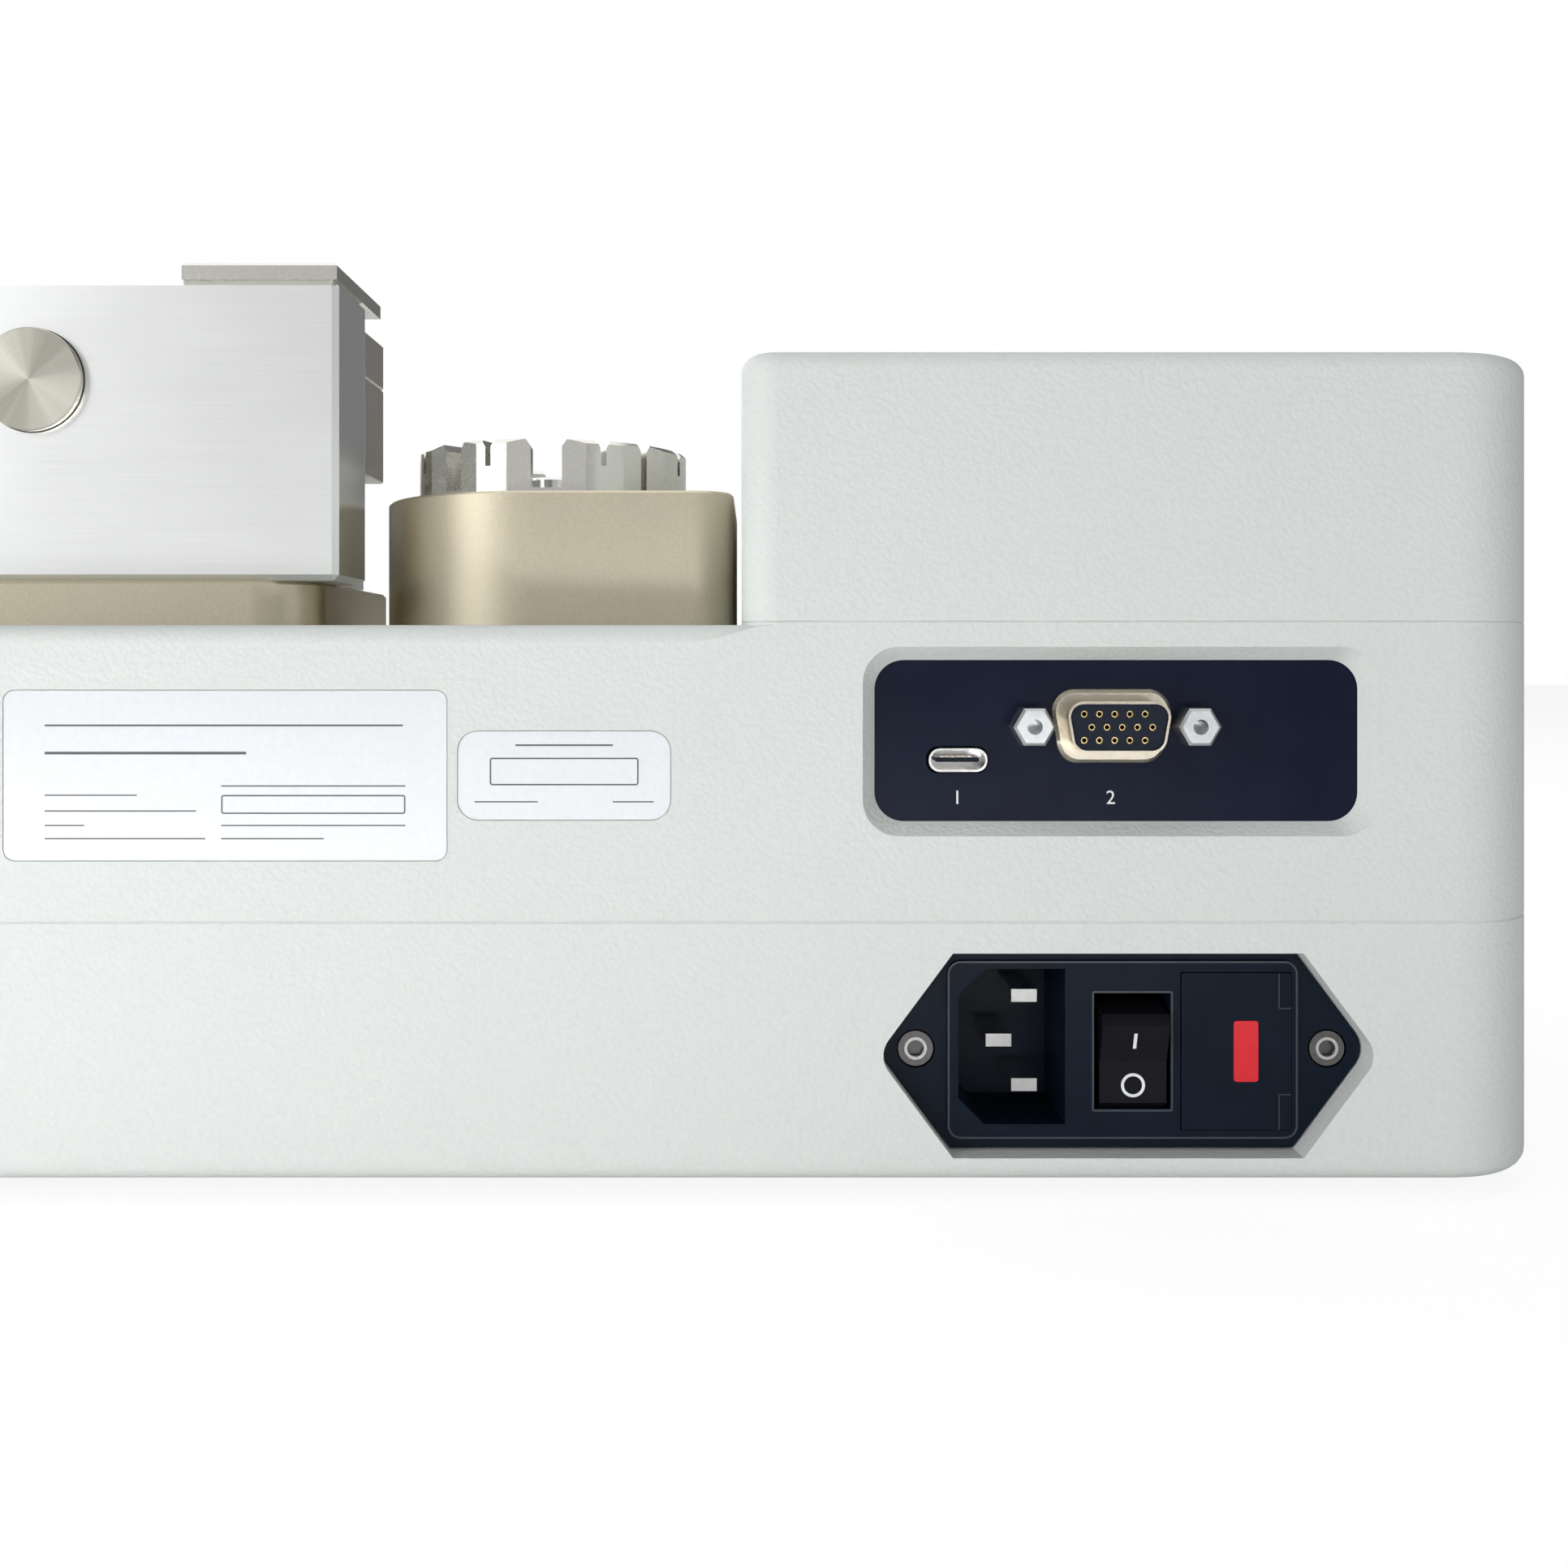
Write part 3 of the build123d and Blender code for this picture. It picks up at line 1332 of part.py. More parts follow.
with BuildPart() as inlet_screws:
    for side in (-1, 1):
        x = inlet_x + side * inlet_screw_pitch / 2
        cross_bar(x, flange_face_y - 1.5, flange_face_y - 0.1, inlet_z, inlet_screw_r)
        screw_tip, screw_seat = flange_seat_y - 2 * wall + 0.5, flange_face_y - 1.5
        cross_bar(x, screw_tip, screw_seat, inlet_z, shell_screw_r - 2 * fit_gap)
    for side in (-1, 1):
        with BuildSketch(rear(inlet_x + side * inlet_screw_pitch / 2, inlet_z, flange_face_y - 0.1)):
            RegularPolygon(1.3, 6)
        extrude(amount=-1, mode=Mode.SUBTRACT)
save(inlet_screws.part, "inlet_screws")

# Rocker: two shallow facets, drawn level and then tipped to the off side
with BuildPart() as rocker_level:
    with BuildSketch(Plane(origin=(-rocker_w / 2, 0, 0), x_dir=(0, 1, 0), z_dir=(1, 0, 0))):
        Circle(rocker_end_r)
        with Locations((rocker_d / 6, 0)):
            Rectangle(rocker_d, rocker_h, mode=Mode.INTERSECT)
        tip = rocker_h / 2
        Polygon(
            (rocker_face, 0),
            (rocker_face + rocker_vee, tip),
            (rocker_face + 8, tip + 1),
            (rocker_face + 8, -tip - 1),
            (rocker_face + rocker_vee, -tip),
            align=None,
            mode=Mode.SUBTRACT,
        )
    extrude(amount=rocker_w)
    shaft(-rocker_w / 2 - trunnion_l, rocker_w / 2 + trunnion_l, 0, 0, trunnion_r)

with BuildPart() as rocker:
    with Locations(Location((rocker_x, rocker_pivot_y, rocker_z), (-rocker_swing, 0, 0))):
        add(rocker_level.part)
save(rocker.part, "switch_rocker")

with BuildPart() as fuse_drawer:
    with BuildSketch(rear(fuse_x, fuse_z, frame_face_y - fuse_front_t)):
        Rectangle(fuse_w, fuse_h)
    extrude(amount=fuse_front_t + 0.2)
    with BuildSketch(rear(fuse_x, fuse_z, frame_face_y - fuse_front_t)):
        Rectangle(fuse_w - 2, fuse_h - 2)
    extrude(amount=-fuse_tray_d)
    for side in (-1, 1):
        z = fuse_z + side * (fuse_h / 4 - 0.3)
        y0 = frame_face_y - fuse_front_t - fuse_tray_d + 1
        cross_bar(fuse_x, y0, y0 + fuse_l + 1, z, fuse_r + seat_gap, Mode.SUBTRACT)
    with BuildSketch(rear(window_x, fuse_z, frame_face_y + 0.2)):
        RectangleRounded(window_w + 0.1, window_h + 0.1, 0.5)
    extrude(amount=-1, mode=Mode.SUBTRACT)
save(fuse_drawer.part, "fuse_drawer")

with BuildPart() as fuses:
    for side in (-1, 1):
        z = fuse_z + side * (fuse_h / 4 - 0.3)
        y0 = frame_face_y - fuse_front_t - fuse_tray_d + 1.5
        cross_bar(fuse_x, y0, y0 + fuse_l, z, fuse_r)
save(fuses.part, "fuses")

with BuildPart() as fuse_window:
    with BuildSketch(rear(window_x, fuse_z, frame_face_y + 0.2 - 1)):
        RectangleRounded(window_w, window_h, 0.5)
    extrude(amount=1)
save(fuse_window.part, "fuse_window")


# Rear plates
with BuildPart() as rear_plates:
    with BuildSketch(rear(rating_x, rating_z, back_y - label_in)):
        RectangleRounded(rating_w, rating_h, rating_r)
    extrude(amount=label_t)
    with BuildSketch(rear(serial_x, serial_z, back_y - label_in)):
        RectangleRounded(serial_w, serial_h, serial_r)
    extrude(amount=label_t)
save(rear_plates.part, "rear_plates")


# Display and keys on the slope
with BuildPart() as overlay:
    with BuildSketch(slope_plane.offset(-overlay_t)):
        RectangleRounded(overlay_w, overlay_h, overlay_r - label_gap)
        with Locations((0, screen_up)):
            Rectangle(screen_w + 0.2, screen_h + 0.2, mode=Mode.SUBTRACT)
        for name, x, y, is_bar in key_spots:
            with Locations((x, y)):
                if is_bar:
                    RectangleRounded(
                        bar_key_w + 2 * part_gap,
                        bar_key_h + 2 * part_gap,
                        bar_key_h / 3 + part_gap,
                        mode=Mode.SUBTRACT,
                    )
                else:
                    Circle(key_r + part_gap, mode=Mode.SUBTRACT)
    extrude(amount=overlay_t)
save(overlay.part, "display_overlay")

with BuildPart() as glass:
    with BuildSketch(slope_plane.offset(-overlay_t)):
        with Locations((0, screen_up)):
            Rectangle(screen_w, screen_h)
    extrude(amount=glass_t)
save(glass.part, "display_glass")

with BuildPart() as lcd:
    with BuildSketch(slope_plane.offset(-overlay_t)):
        with Locations((0, screen_up)):
            Rectangle(screen_w + 2 * lcd_margin, screen_h + 2 * lcd_margin)
    extrude(amount=-lcd_t)
save(lcd.part, "lcd_module")

for name, x, y, is_bar in key_spots:
    with BuildPart() as key:
        extrude(key_outline(-wall - seat_gap, x, y, is_bar, 0), amount=wall + seat_gap + key_out)
        top = key.faces().sort_by(Axis(slope_plane.origin, slope_plane.z_dir))[-1]
        chamfer(top.edges(), 0.4)
        extrude(key_outline(-wall - 0.1, x, y, is_bar, key_flange), amount=-key_flange_t)
        extrude(key_outline(-wall - 0.1, x, y, is_bar, 0), amount=0.1)
    save(key.part, name)

with BuildPart() as key_board:
    with BuildSketch(slope_plane.offset(key_board_top)):
        with Locations((0, key_board_y)):
            Rectangle(key_board_w, key_board_h)
    extrude(amount=-board_t)
    with BuildSketch(slope_plane.offset(key_board_top)):
        for name, x, y, is_bar in key_spots:
            with Locations((x, y)):
                Rectangle(switch_w, switch_w)
    extrude(amount=switch_h)
save(key_board.part, "key_board")


# Boards, each with its main components as separate solids
def circuit_board(outline, z, parts):
    """A board and the blocks on it."""
    x0, x1, y0, y1 = outline
    block(x0, x1, y0, y1, z, z + board_t)
    for x, y, width, depth, height in parts:
        left = x0 + x * (x1 - x0)
        near = y0 + y * (y1 - y0)
        block(
            left,
            left + width * (x1 - x0),
            near,
            near + depth * (y1 - y0),
            z + board_t,
            z + board_t + height,
        )


main_box = (
    left_x + main_board_in,
    head_x1 - main_board_in,
    back_y - main_board_back - main_board_d,
    back_y - main_board_back,
)
supply_box = (
    left_x + supply_in,
    left_x + supply_in + supply_w,
    front_y + supply_front,
    flange_seat_y - inlet_box_d - supply_back,
)
driver_box = (
    head_x1,
    head_x1 + driver_w,
    front_y + supply_front,
    front_y + supply_front + driver_d,
)

with BuildPart() as main_board:
    circuit_board(main_box, head_seam_z + standoff_h, main_parts)
save(main_board.part, "main_board")

with BuildPart() as power_supply:
    circuit_board(supply_box, chassis_z + standoff_h, supply_parts)
save(power_supply.part, "power_supply")

with BuildPart() as motor_driver:
    circuit_board(driver_box, chassis_z + standoff_h, driver_parts)
save(motor_driver.part, "motor_driver_board")

# Screws of the feet, shells, head and motor, and the spacers under the boards
with BuildPart() as chassis_fasteners:
    for x, y in foot_spots:
        upright(x, y, foot_h / 2 - 1, foot_h / 2, shell_screw_head_r)
        upright(x, y, foot_h / 2, chassis_z, shell_screw_r)
    for x, y in shell_screw_spots:
        upright(x, y, foot_h + part_gap, foot_h + wall - 1, shell_screw_head_r)
        upright(x, y, foot_h + wall - 1, seam_z + shell_screw_up, shell_screw_r)
    for x, y in head_screw_spots:
        upright(x, y, deck_under_z - 2, deck_under_z, shell_screw_head_r)
        upright(x, y, deck_under_z, head_seam_z + 5, shell_screw_r)
    for sy in (-1, 1):
        for sz in (-1, 1):
            y = line_y + sy * motor_bolt_pitch / 2
            z = motor_z + sz * motor_bolt_pitch / 2
            shaft(frame_x1 - 5, frame_x1 + frame_t, y, z, shell_screw_r - 3 * seat_gap)
            shaft(frame_x1 + frame_t, frame_x1 + frame_t + 2, y, z, shell_screw_head_r)
    for (x0, x1, y0, y1), z in ((main_box, head_seam_z), (supply_box, chassis_z), (driver_box, chassis_z)):
        for x in (x0 + standoff_in, x1 - standoff_in):
            for y in (y0 + standoff_in, y1 - standoff_in):
                upright(x, y, z, z + standoff_h, standoff_r)
save(chassis_fasteners.part, "chassis_fasteners")
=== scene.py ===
import math
import bmesh
import bpy
from mathutils import Matrix, Vector


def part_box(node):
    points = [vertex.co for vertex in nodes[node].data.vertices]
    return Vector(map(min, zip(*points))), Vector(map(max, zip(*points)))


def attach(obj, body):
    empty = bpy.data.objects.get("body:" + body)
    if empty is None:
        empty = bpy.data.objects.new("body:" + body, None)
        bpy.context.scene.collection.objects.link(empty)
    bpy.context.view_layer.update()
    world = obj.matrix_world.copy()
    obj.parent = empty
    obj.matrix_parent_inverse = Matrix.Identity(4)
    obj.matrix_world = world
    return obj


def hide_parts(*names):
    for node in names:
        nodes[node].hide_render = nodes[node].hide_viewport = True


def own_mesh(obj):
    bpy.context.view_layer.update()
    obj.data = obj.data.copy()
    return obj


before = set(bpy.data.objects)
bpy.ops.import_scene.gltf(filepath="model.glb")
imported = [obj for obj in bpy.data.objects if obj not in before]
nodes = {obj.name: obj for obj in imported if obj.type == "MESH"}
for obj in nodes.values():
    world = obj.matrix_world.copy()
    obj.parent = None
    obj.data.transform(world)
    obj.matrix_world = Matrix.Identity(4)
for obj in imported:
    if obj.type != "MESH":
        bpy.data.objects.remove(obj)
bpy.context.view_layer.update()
mm = 0.001
print("frame loaded:", len(nodes), "nodes")


# Shader maths: a socket that takes part in Python expressions
class Socket:
    def __init__(self, finish, socket):
        self.finish = finish
        self.socket = socket

    def math(self, operation, first, second):
        return self.finish.add("ShaderNodeMath", {"operation": operation}, {0: first, 1: second}).out()

    def __add__(self, other):
        return self.math("ADD", self, other)

    def __radd__(self, other):
        return self.math("ADD", other, self)

    def __sub__(self, other):
        return self.math("SUBTRACT", self, other)

    def __rsub__(self, other):
        return self.math("SUBTRACT", other, self)

    def __mul__(self, other):
        return self.math("MULTIPLY", self, other)

    def __rmul__(self, other):
        return self.math("MULTIPLY", other, self)

    def __pow__(self, other):
        return self.math("POWER", self, other)


class Node:
    def __init__(self, finish, node):
        self.finish = finish
        self.node = node

    def out(self, name=0):
        return Socket(self.finish, self.node.outputs[name])


class Finish:
    def __init__(self, name, **values):
        self.material = bpy.data.materials.new(name)
        self.material.use_nodes = True
        self.tree = self.material.node_tree
        self.shader = self.tree.nodes["Principled BSDF"]
        for key, value in values.items():
            self.set(key, value)

    def set(self, key, value):
        names = {"color": "Base Color", "metal": "Metallic", "rough": "Roughness", "coat": "Coat Weight",
                 "coatRough": "Coat Roughness", "clear": "Transmission Weight", "ior": "IOR",
                 "glow": "Emission Color", "glowPower": "Emission Strength", "gloss": "Specular IOR Level"}
        socket = self.shader.inputs[names[key]]
        if isinstance(value, Socket):
            self.tree.links.new(value.socket, socket)
        else:
            socket.default_value = (*value, 1) if isinstance(value, tuple) and len(value) == 3 else value

    def add(self, kind, settings=None, inputs=None):
        node = self.tree.nodes.new(kind)
        for key, value in (settings or {}).items():
            setattr(node, key, value)
        for key, value in (inputs or {}).items():
            if isinstance(value, Socket):
                self.tree.links.new(value.socket, node.inputs[key])
            else:
                node.inputs[key].default_value = value
        return Node(self, node)

    def place(self, scale=(1, 1, 1), centre=(0, 0, 0)):
        spot = self.add("ShaderNodeTexCoord").out("Object")
        moved = self.add("ShaderNodeVectorMath", {"operation": "SUBTRACT"}, {0: spot, 1: centre}).out()
        return self.add("ShaderNodeMapping", {}, {"Vector": moved, "Scale": scale}).out()

    def noise(self, where, scale, detail=2.0, rough=0.5):
        return self.add("ShaderNodeTexNoise", {}, {"Vector": where, "Scale": scale, "Detail": detail,
                                                   "Roughness": rough}).out("Fac")

    def mix(self, mask, first, second):
        tones = {0: mask, 6: (*first, 1), 7: (*second, 1)}
        return self.add("ShaderNodeMix", {"data_type": "RGBA"}, tones).out(2)

    def bump(self, height, distance, strength):
        made = self.add("ShaderNodeBump", {}, {"Height": height, "Distance": distance, "Strength": strength})
        self.tree.links.new(made.out().socket, self.shader.inputs["Normal"])


def range01(finish, value, low, high):
    return finish.add("ShaderNodeMapRange", {}, {"Value": value, "From Min": low, "From Max": high}).out()


# Moulded white plastic with a fine leather grain
whitePlastic = {"tone": (0.765, 0.80, 0.78), "deep": (0.74, 0.775, 0.755), "gloss": 0.4, "rough": 0.5,
                "roughSpread": 0.08, "cell": 1250.0, "round": 0.7, "fine": 3800.0, "drift": 0.0008,
                "deepFrom": 0.3, "deepTo": 0.8, "cellShare": 0.8, "fineShare": 0.2, "height": 0.00016,
                "strength": 0.75}


def mouldedPlastic():
    v = whitePlastic
    f = Finish("mouldedPlastic", gloss=v["gloss"])
    where = f.place()
    warp = f.noise(where, v["cell"] * 0.5) * v["drift"]
    drift = f.noise(where, v["cell"] * 0.7) * v["drift"]
    shift = f.add("ShaderNodeCombineXYZ", {}, {0: warp, 1: drift, 2: warp * 0.875}).out()
    spread = f.add("ShaderNodeVectorMath", {"operation": "ADD"}, {0: where, 1: shift}).out()
    cells = f.add("ShaderNodeTexVoronoi", {"feature": "SMOOTH_F1"},
                  {"Vector": spread, "Scale": v["cell"], "Smoothness": v["round"]}).out("Distance")
    fine = f.noise(where, v["fine"])
    f.set("color", f.mix(range01(f, cells, v["deepFrom"], v["deepTo"]), v["tone"], v["deep"]))
    f.set("rough", v["rough"] + fine * v["roughSpread"])
    f.bump((1 - cells) * v["cellShare"] + fine * v["fineShare"], v["height"], v["strength"])
    return f.material


# Bead-blasted, anodised aluminium
champagne = {"light": (0.66, 0.60, 0.47), "dark": (0.60, 0.54, 0.41), "rough": 0.34, "roughSpread": 0.12,
             "grain": 2600.0, "detail": 3.0, "crisp": 0.7, "height": 0.00003, "strength": 0.5}


def blastedAluminium():
    v = champagne
    f = Finish("champagneAluminium", metal=1.0)
    grain = f.noise(f.place(), v["grain"], v["detail"], v["crisp"])
    f.set("color", f.mix(range01(f, grain, 0.35, 0.65), v["dark"], v["light"]))
    f.set("rough", v["rough"] + grain * v["roughSpread"])
    f.bump(grain, v["height"], v["strength"])
    return f.material


# Brushed, turned and ground metals differ in tone and in how their lines run
metals = {
    "brushedAluminium": {"tone": (0.945, 0.96, 0.95), "low": (0.90, 0.915, 0.905), "rough": 0.33,
                         "stretch": (40.0, 3800.0, 3800.0), "height": 0.000005},
    "machinedAluminium": {"tone": (0.76, 0.745, 0.70), "low": (0.72, 0.705, 0.66), "rough": 0.24,
                          "stretch": (2400.0, 2400.0, 2400.0), "height": 0.000003},
    "dullScrew": {"tone": (0.16, 0.155, 0.15), "low": (0.12, 0.118, 0.115), "rough": 0.42,
                  "stretch": (900.0, 900.0, 900.0), "height": 0.00001},
    "jawNickel": {"tone": (0.80, 0.775, 0.71), "low": (0.70, 0.675, 0.61), "rough": 0.36,
                  "stretch": (60.0, 900.0, 900.0), "height": 0.00001},
    "polishedSteel": {"tone": (0.78, 0.78, 0.78), "low": (0.70, 0.70, 0.70), "rough": 0.16,
                      "stretch": (800.0, 30.0, 800.0), "height": 0.000004},
    "zincSteel": {"tone": (0.70, 0.72, 0.73), "low": (0.55, 0.57, 0.58), "rough": 0.30,
                  "stretch": (500.0, 500.0, 500.0), "height": 0.00001},
    "warmNickel": {"tone": (0.62, 0.565, 0.47), "low": (0.54, 0.49, 0.40), "rough": 0.22,
                   "stretch": (900.0, 900.0, 900.0), "height": 0.00001},
    "bronze": {"tone": (0.62, 0.43, 0.22), "low": (0.52, 0.35, 0.17), "rough": 0.36,
               "stretch": (700.0, 700.0, 700.0), "height": 0.00001},
    "goldContact": {"tone": (0.85, 0.66, 0.32), "low": (0.78, 0.58, 0.26), "rough": 0.2,
                    "stretch": (900.0, 900.0, 900.0), "height": 0.000005},
    "labelFoil": {"tone": (0.80, 0.825, 0.85), "low": (0.76, 0.785, 0.81), "rough": 0.42,
                  "stretch": (900.0, 900.0, 900.0), "height": 0.000004},
}


foilMetal = 0.25
metalLines = {"detail": 4.0, "crisp": 0.65, "from": 0.3, "to": 0.7, "smudge": 55.0, "lineRough": 0.14,
              "smudgeRough": 0.06, "roughDown": 0.08, "strength": 0.6}


def linedMetal(name):
    v, m = metals[name], metalLines
    f = Finish(name, metal=foilMetal if name == "labelFoil" else 1.0)
    lines = f.noise(f.place(v["stretch"]), 1.0, m["detail"], m["crisp"])
    smudge = f.noise(f.place(), m["smudge"])
    f.set("color", f.mix(range01(f, lines, m["from"], m["to"]), v["low"], v["tone"]))
    f.set("rough", v["rough"] + lines * m["lineRough"] + smudge * m["smudgeRough"] - m["roughDown"])
    f.bump(lines, v["height"], m["strength"])
    return f.material


# Turned face of the pull rod: fine rings round its own axis give its bump and some tone; the bright and dark
# sectors are a painted reflection in its colour
turned = {"tone": (0.86, 0.83, 0.735), "low": (0.44, 0.42, 0.36), "rings": 9000.0, "height": 0.000004,
          "rough": 0.24, "roughSpread": 0.1, "strength": 0.6, "paintedLobeTurn": 0.35, "paintedLobeShare": 0.3, "paintedFanTurns": 1.6,
          "paintedFan": 1.4, "paintedFanShare": 0.6, "ringShare": 0.3, "from": 0.1, "to": 0.8}


def turnedSteel(centre):
    v = turned
    f = Finish("turnedSteel", metal=1.0)
    parts = f.add("ShaderNodeSeparateXYZ", {}, {0: f.place(centre=centre)})
    x, z = parts.out(0), parts.out(2)
    reach = (x * x + z * z) ** 0.5
    angle = f.add("ShaderNodeMath", {"operation": "ARCTAN2"}, {0: z, 1: x}).out()
    # Painted reflection: two bright and two dark lobes round the rod's axis, plus a fan of random sectors,
    # are painted into the colour
    paintedLobes = f.add("ShaderNodeMath", {"operation": "SINE"}, {0: angle * 2 + v["paintedLobeTurn"]}).out()
    rings = f.noise(f.add("ShaderNodeCombineXYZ", {}, {0: reach * v["rings"]}).out(), 1.0, 1.0)
    paintedFan = f.noise(f.add("ShaderNodeCombineXYZ", {}, {0: angle * v["paintedFanTurns"]}).out(), v["paintedFan"])
    light = paintedLobes * v["paintedLobeShare"] + paintedFan * v["paintedFanShare"] + rings * v["ringShare"]
    # The colour runs from the dark to the bright tone of the painted reflection; only the ring share is the
    # turning's own tone
    f.set("color", f.mix(range01(f, light, v["from"], v["to"]), v["low"], v["tone"]))
    f.set("rough", v["rough"] + rings * v["roughSpread"])
    f.bump(rings, v["height"], v["strength"])
    return f.material


# Plastics, inks and boards: tone, roughness, scale and height of the grain, and coat
plastics = {
    "navyFilm": ((0.0016, 0.0045, 0.020), 0.34, 700.0, 0.00001, 0.0),
    "blackMoulding": ((0.0018, 0.0065, 0.017), 0.36, 1400.0, 0.00002, 0.0),
    "rockerBlack": ((0.004, 0.0045, 0.007), 0.24, 900.0, 0.00001, 0.1),
    "insertBlack": ((0.012, 0.017, 0.030), 0.5, 1200.0, 0.00001, 0.0),
    "leverBlack": ((0.010, 0.010, 0.011), 0.42, 800.0, 0.00004, 0.0),
    "footRubber": ((0.02, 0.02, 0.021), 0.75, 900.0, 0.00005, 0.0),
    "beltRubber": ((0.02, 0.02, 0.022), 0.7, 900.0, 0.00003, 0.0),
    "greyKey": ((0.42, 0.45, 0.49), 0.4, 900.0, 0.00001, 0.1),
    "greenKey": ((0.02, 0.30, 0.10), 0.38, 900.0, 0.00001, 0.1),
    "redKey": ((0.50, 0.015, 0.015), 0.38, 900.0, 0.00001, 0.1),
    "redWindow": ((0.74, 0.012, 0.022), 0.25, 400.0, 0.00001, 0.2),
    "whiteInk": ((0.80, 0.81, 0.82), 0.5, 900.0, 0.000004, 0.0),
    "greyInk": ((0.10, 0.105, 0.11), 0.5, 900.0, 0.000004, 0.0),
    "scuffedWhite": ((0.60, 0.62, 0.61), 0.45, 900.0, 0.00001, 0.0),
    # lighter grey of the inlet's rim, lip and notch lines: painted edge highlights
    "rimHighlightGrey": ((0.035, 0.045, 0.06), 0.3, 900.0, 0.00001, 0.0),
    "fuseCeramic": ((0.80, 0.80, 0.78), 0.4, 900.0, 0.00001, 0.0),
    "boardGreen": ((0.01, 0.12, 0.045), 0.4, 500.0, 0.00002, 0.2),
}
darkPlastics = ("navyFilm", "blackMoulding", "rockerBlack", "insertBlack", "leverBlack")
moulding = {"coatRough": 0.15, "gloss": 0.45, "darkGloss": 0.14, "detail": 3.0, "cloud": 90.0, "lift": 1.18,
            "liftBy": 0.002, "from": 0.3, "to": 0.7, "roughSpread": 0.1, "roughDown": 0.05, "strength": 0.5}


def mouldedPart(name):
    tone, rough, scale, height, coat = plastics[name]
    m = moulding
    gloss = m["darkGloss"] if name in darkPlastics else m["gloss"]
    f = Finish(name, coat=coat, coatRough=m["coatRough"], gloss=gloss)
    where = f.place()
    grain = f.noise(where, scale, m["detail"])
    cloud = f.noise(where, m["cloud"])
    lighter = tuple(min(1.0, c * m["lift"] + m["liftBy"]) for c in tone)
    f.set("color", f.mix(range01(f, cloud, m["from"], m["to"]), tone, lighter))
    f.set("rough", rough + grain * m["roughSpread"] - m["roughDown"])
    f.bump(grain, height, m["strength"])
    return f.material


# Screen: a dark field that is a little lighter towards its upper edge, lit marks on it and a clear lens
screen = {"low": (0.004, 0.007, 0.014), "high": (0.012, 0.022, 0.042), "rough": 0.18, "coat": 0.4,
          "coatRough": 0.08, "grain": 5000.0, "height": 0.000004, "strength": 0.3}
lit = {"tone": (0.55, 0.85, 1.0), "low": (0.45, 0.75, 0.92), "rough": 0.4, "power": 0.75, "grain": 3000.0}
lens = {"tone": (0.93, 0.96, 1.0), "clear": 0.9, "ior": 1.45, "rough": 0.04, "haze": 0.06, "cloud": 160.0}


def screenFace():
    v = screen
    f = Finish("screenFace", rough=v["rough"], coat=v["coat"], coatRough=v["coatRough"])
    low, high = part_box("lcd_module")
    z = f.add("ShaderNodeSeparateXYZ", {}, {0: f.place()}).out(2)
    f.set("color", f.mix(range01(f, z, low.z, high.z), v["low"], v["high"]))
    f.bump(f.noise(f.place(), v["grain"], 1.0), v["height"], v["strength"])
    return f.material


def screenMark():
    v = lit
    f = Finish("screenMark", rough=v["rough"], glow=v["tone"], glowPower=v["power"])
    f.set("color", f.mix(f.noise(f.place(), v["grain"], 1.0), v["low"], v["tone"]))
    return f.material


def clearLens():
    v = lens
    f = Finish("clearLens", clear=v["clear"], ior=v["ior"], color=v["tone"])
    f.set("rough", v["rough"] + f.noise(f.place(), v["cloud"]) * v["haze"])
    return f.material


rodCentre = tuple((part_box("clamp_rod")[0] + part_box("clamp_rod")[1]) / 2)
finishes = {"mouldedPlastic": mouldedPlastic(), "champagneAluminium": blastedAluminium(),
            "turnedSteel": turnedSteel(rodCentre), "screenFace": screenFace(),
            "screenMark": screenMark(), "clearLens": clearLens()}
finishes.update({name: linedMetal(name) for name in metals})
finishes.update({name: mouldedPart(name) for name in plastics})
print("finishes made:", len(finishes))

nodeFinish = {
    "mouldedPlastic": ["base_shell", "middle_shell", "head_cover"],
    "champagneAluminium": ["fixture_pedestal", "grip_base_plate"],
    "brushedAluminium": ["grip_housing", "clamp_block"],
    "machinedAluminium": ["terminal_turret", "jaw_cover_plate", "frame_plates", "load_cell", "nut_block",
                          "carriage_post"],
    "jawNickel": ["anvil_jaws", "moving_jaw"],
    "turnedSteel": ["clamp_rod"],
    "polishedSteel": ["cam_pin", "guide_pins", "guide_rails", "lead_screw", "motor_shaft", "jaw_springs",
                      "power_inlet_pins", "usb_port_shell", "cam_lever", "turret_screw", "cam_wear_plate"],
    "zincSteel": ["chassis_plate", "chassis_fasteners", "screw_bearings", "io_jackscrews", "grip_screws"],
    "dullScrew": ["inlet_screws"],
    "warmNickel": ["io_connector_shell"],
    "bronze": ["drive_nut_and_bushes"],
    "labelFoil": ["rear_plates"],
    "navyFilm": ["io_panel", "display_overlay"],
    "blackMoulding": ["power_inlet_body", "fuse_drawer", "drive_motor", "usb_port_tongue"],
    "rockerBlack": ["switch_rocker"],
    "insertBlack": ["io_connector_insert"],
    "leverBlack": ["lever_grip"],
    "footRubber": ["rubber_feet"],
    "beltRubber": ["drive_belt"],
    "greyKey": ["key_up", "key_down"],
    "greenKey": ["key_start"],
    "redKey": ["key_stop"],
    "redWindow": ["fuse_window"],
    "fuseCeramic": ["fuses"],
    "boardGreen": ["io_board", "key_board", "main_board", "power_supply", "motor_driver_board"],
    "screenFace": ["lcd_module"],
    "clearLens": ["display_glass"],
}


def dressNodes():
    for finish, names in nodeFinish.items():
        for name in names:
            nodes[name].data.materials.clear()
            nodes[name].data.materials.append(finishes[finish])


dressNodes()
print("nodes dressed")


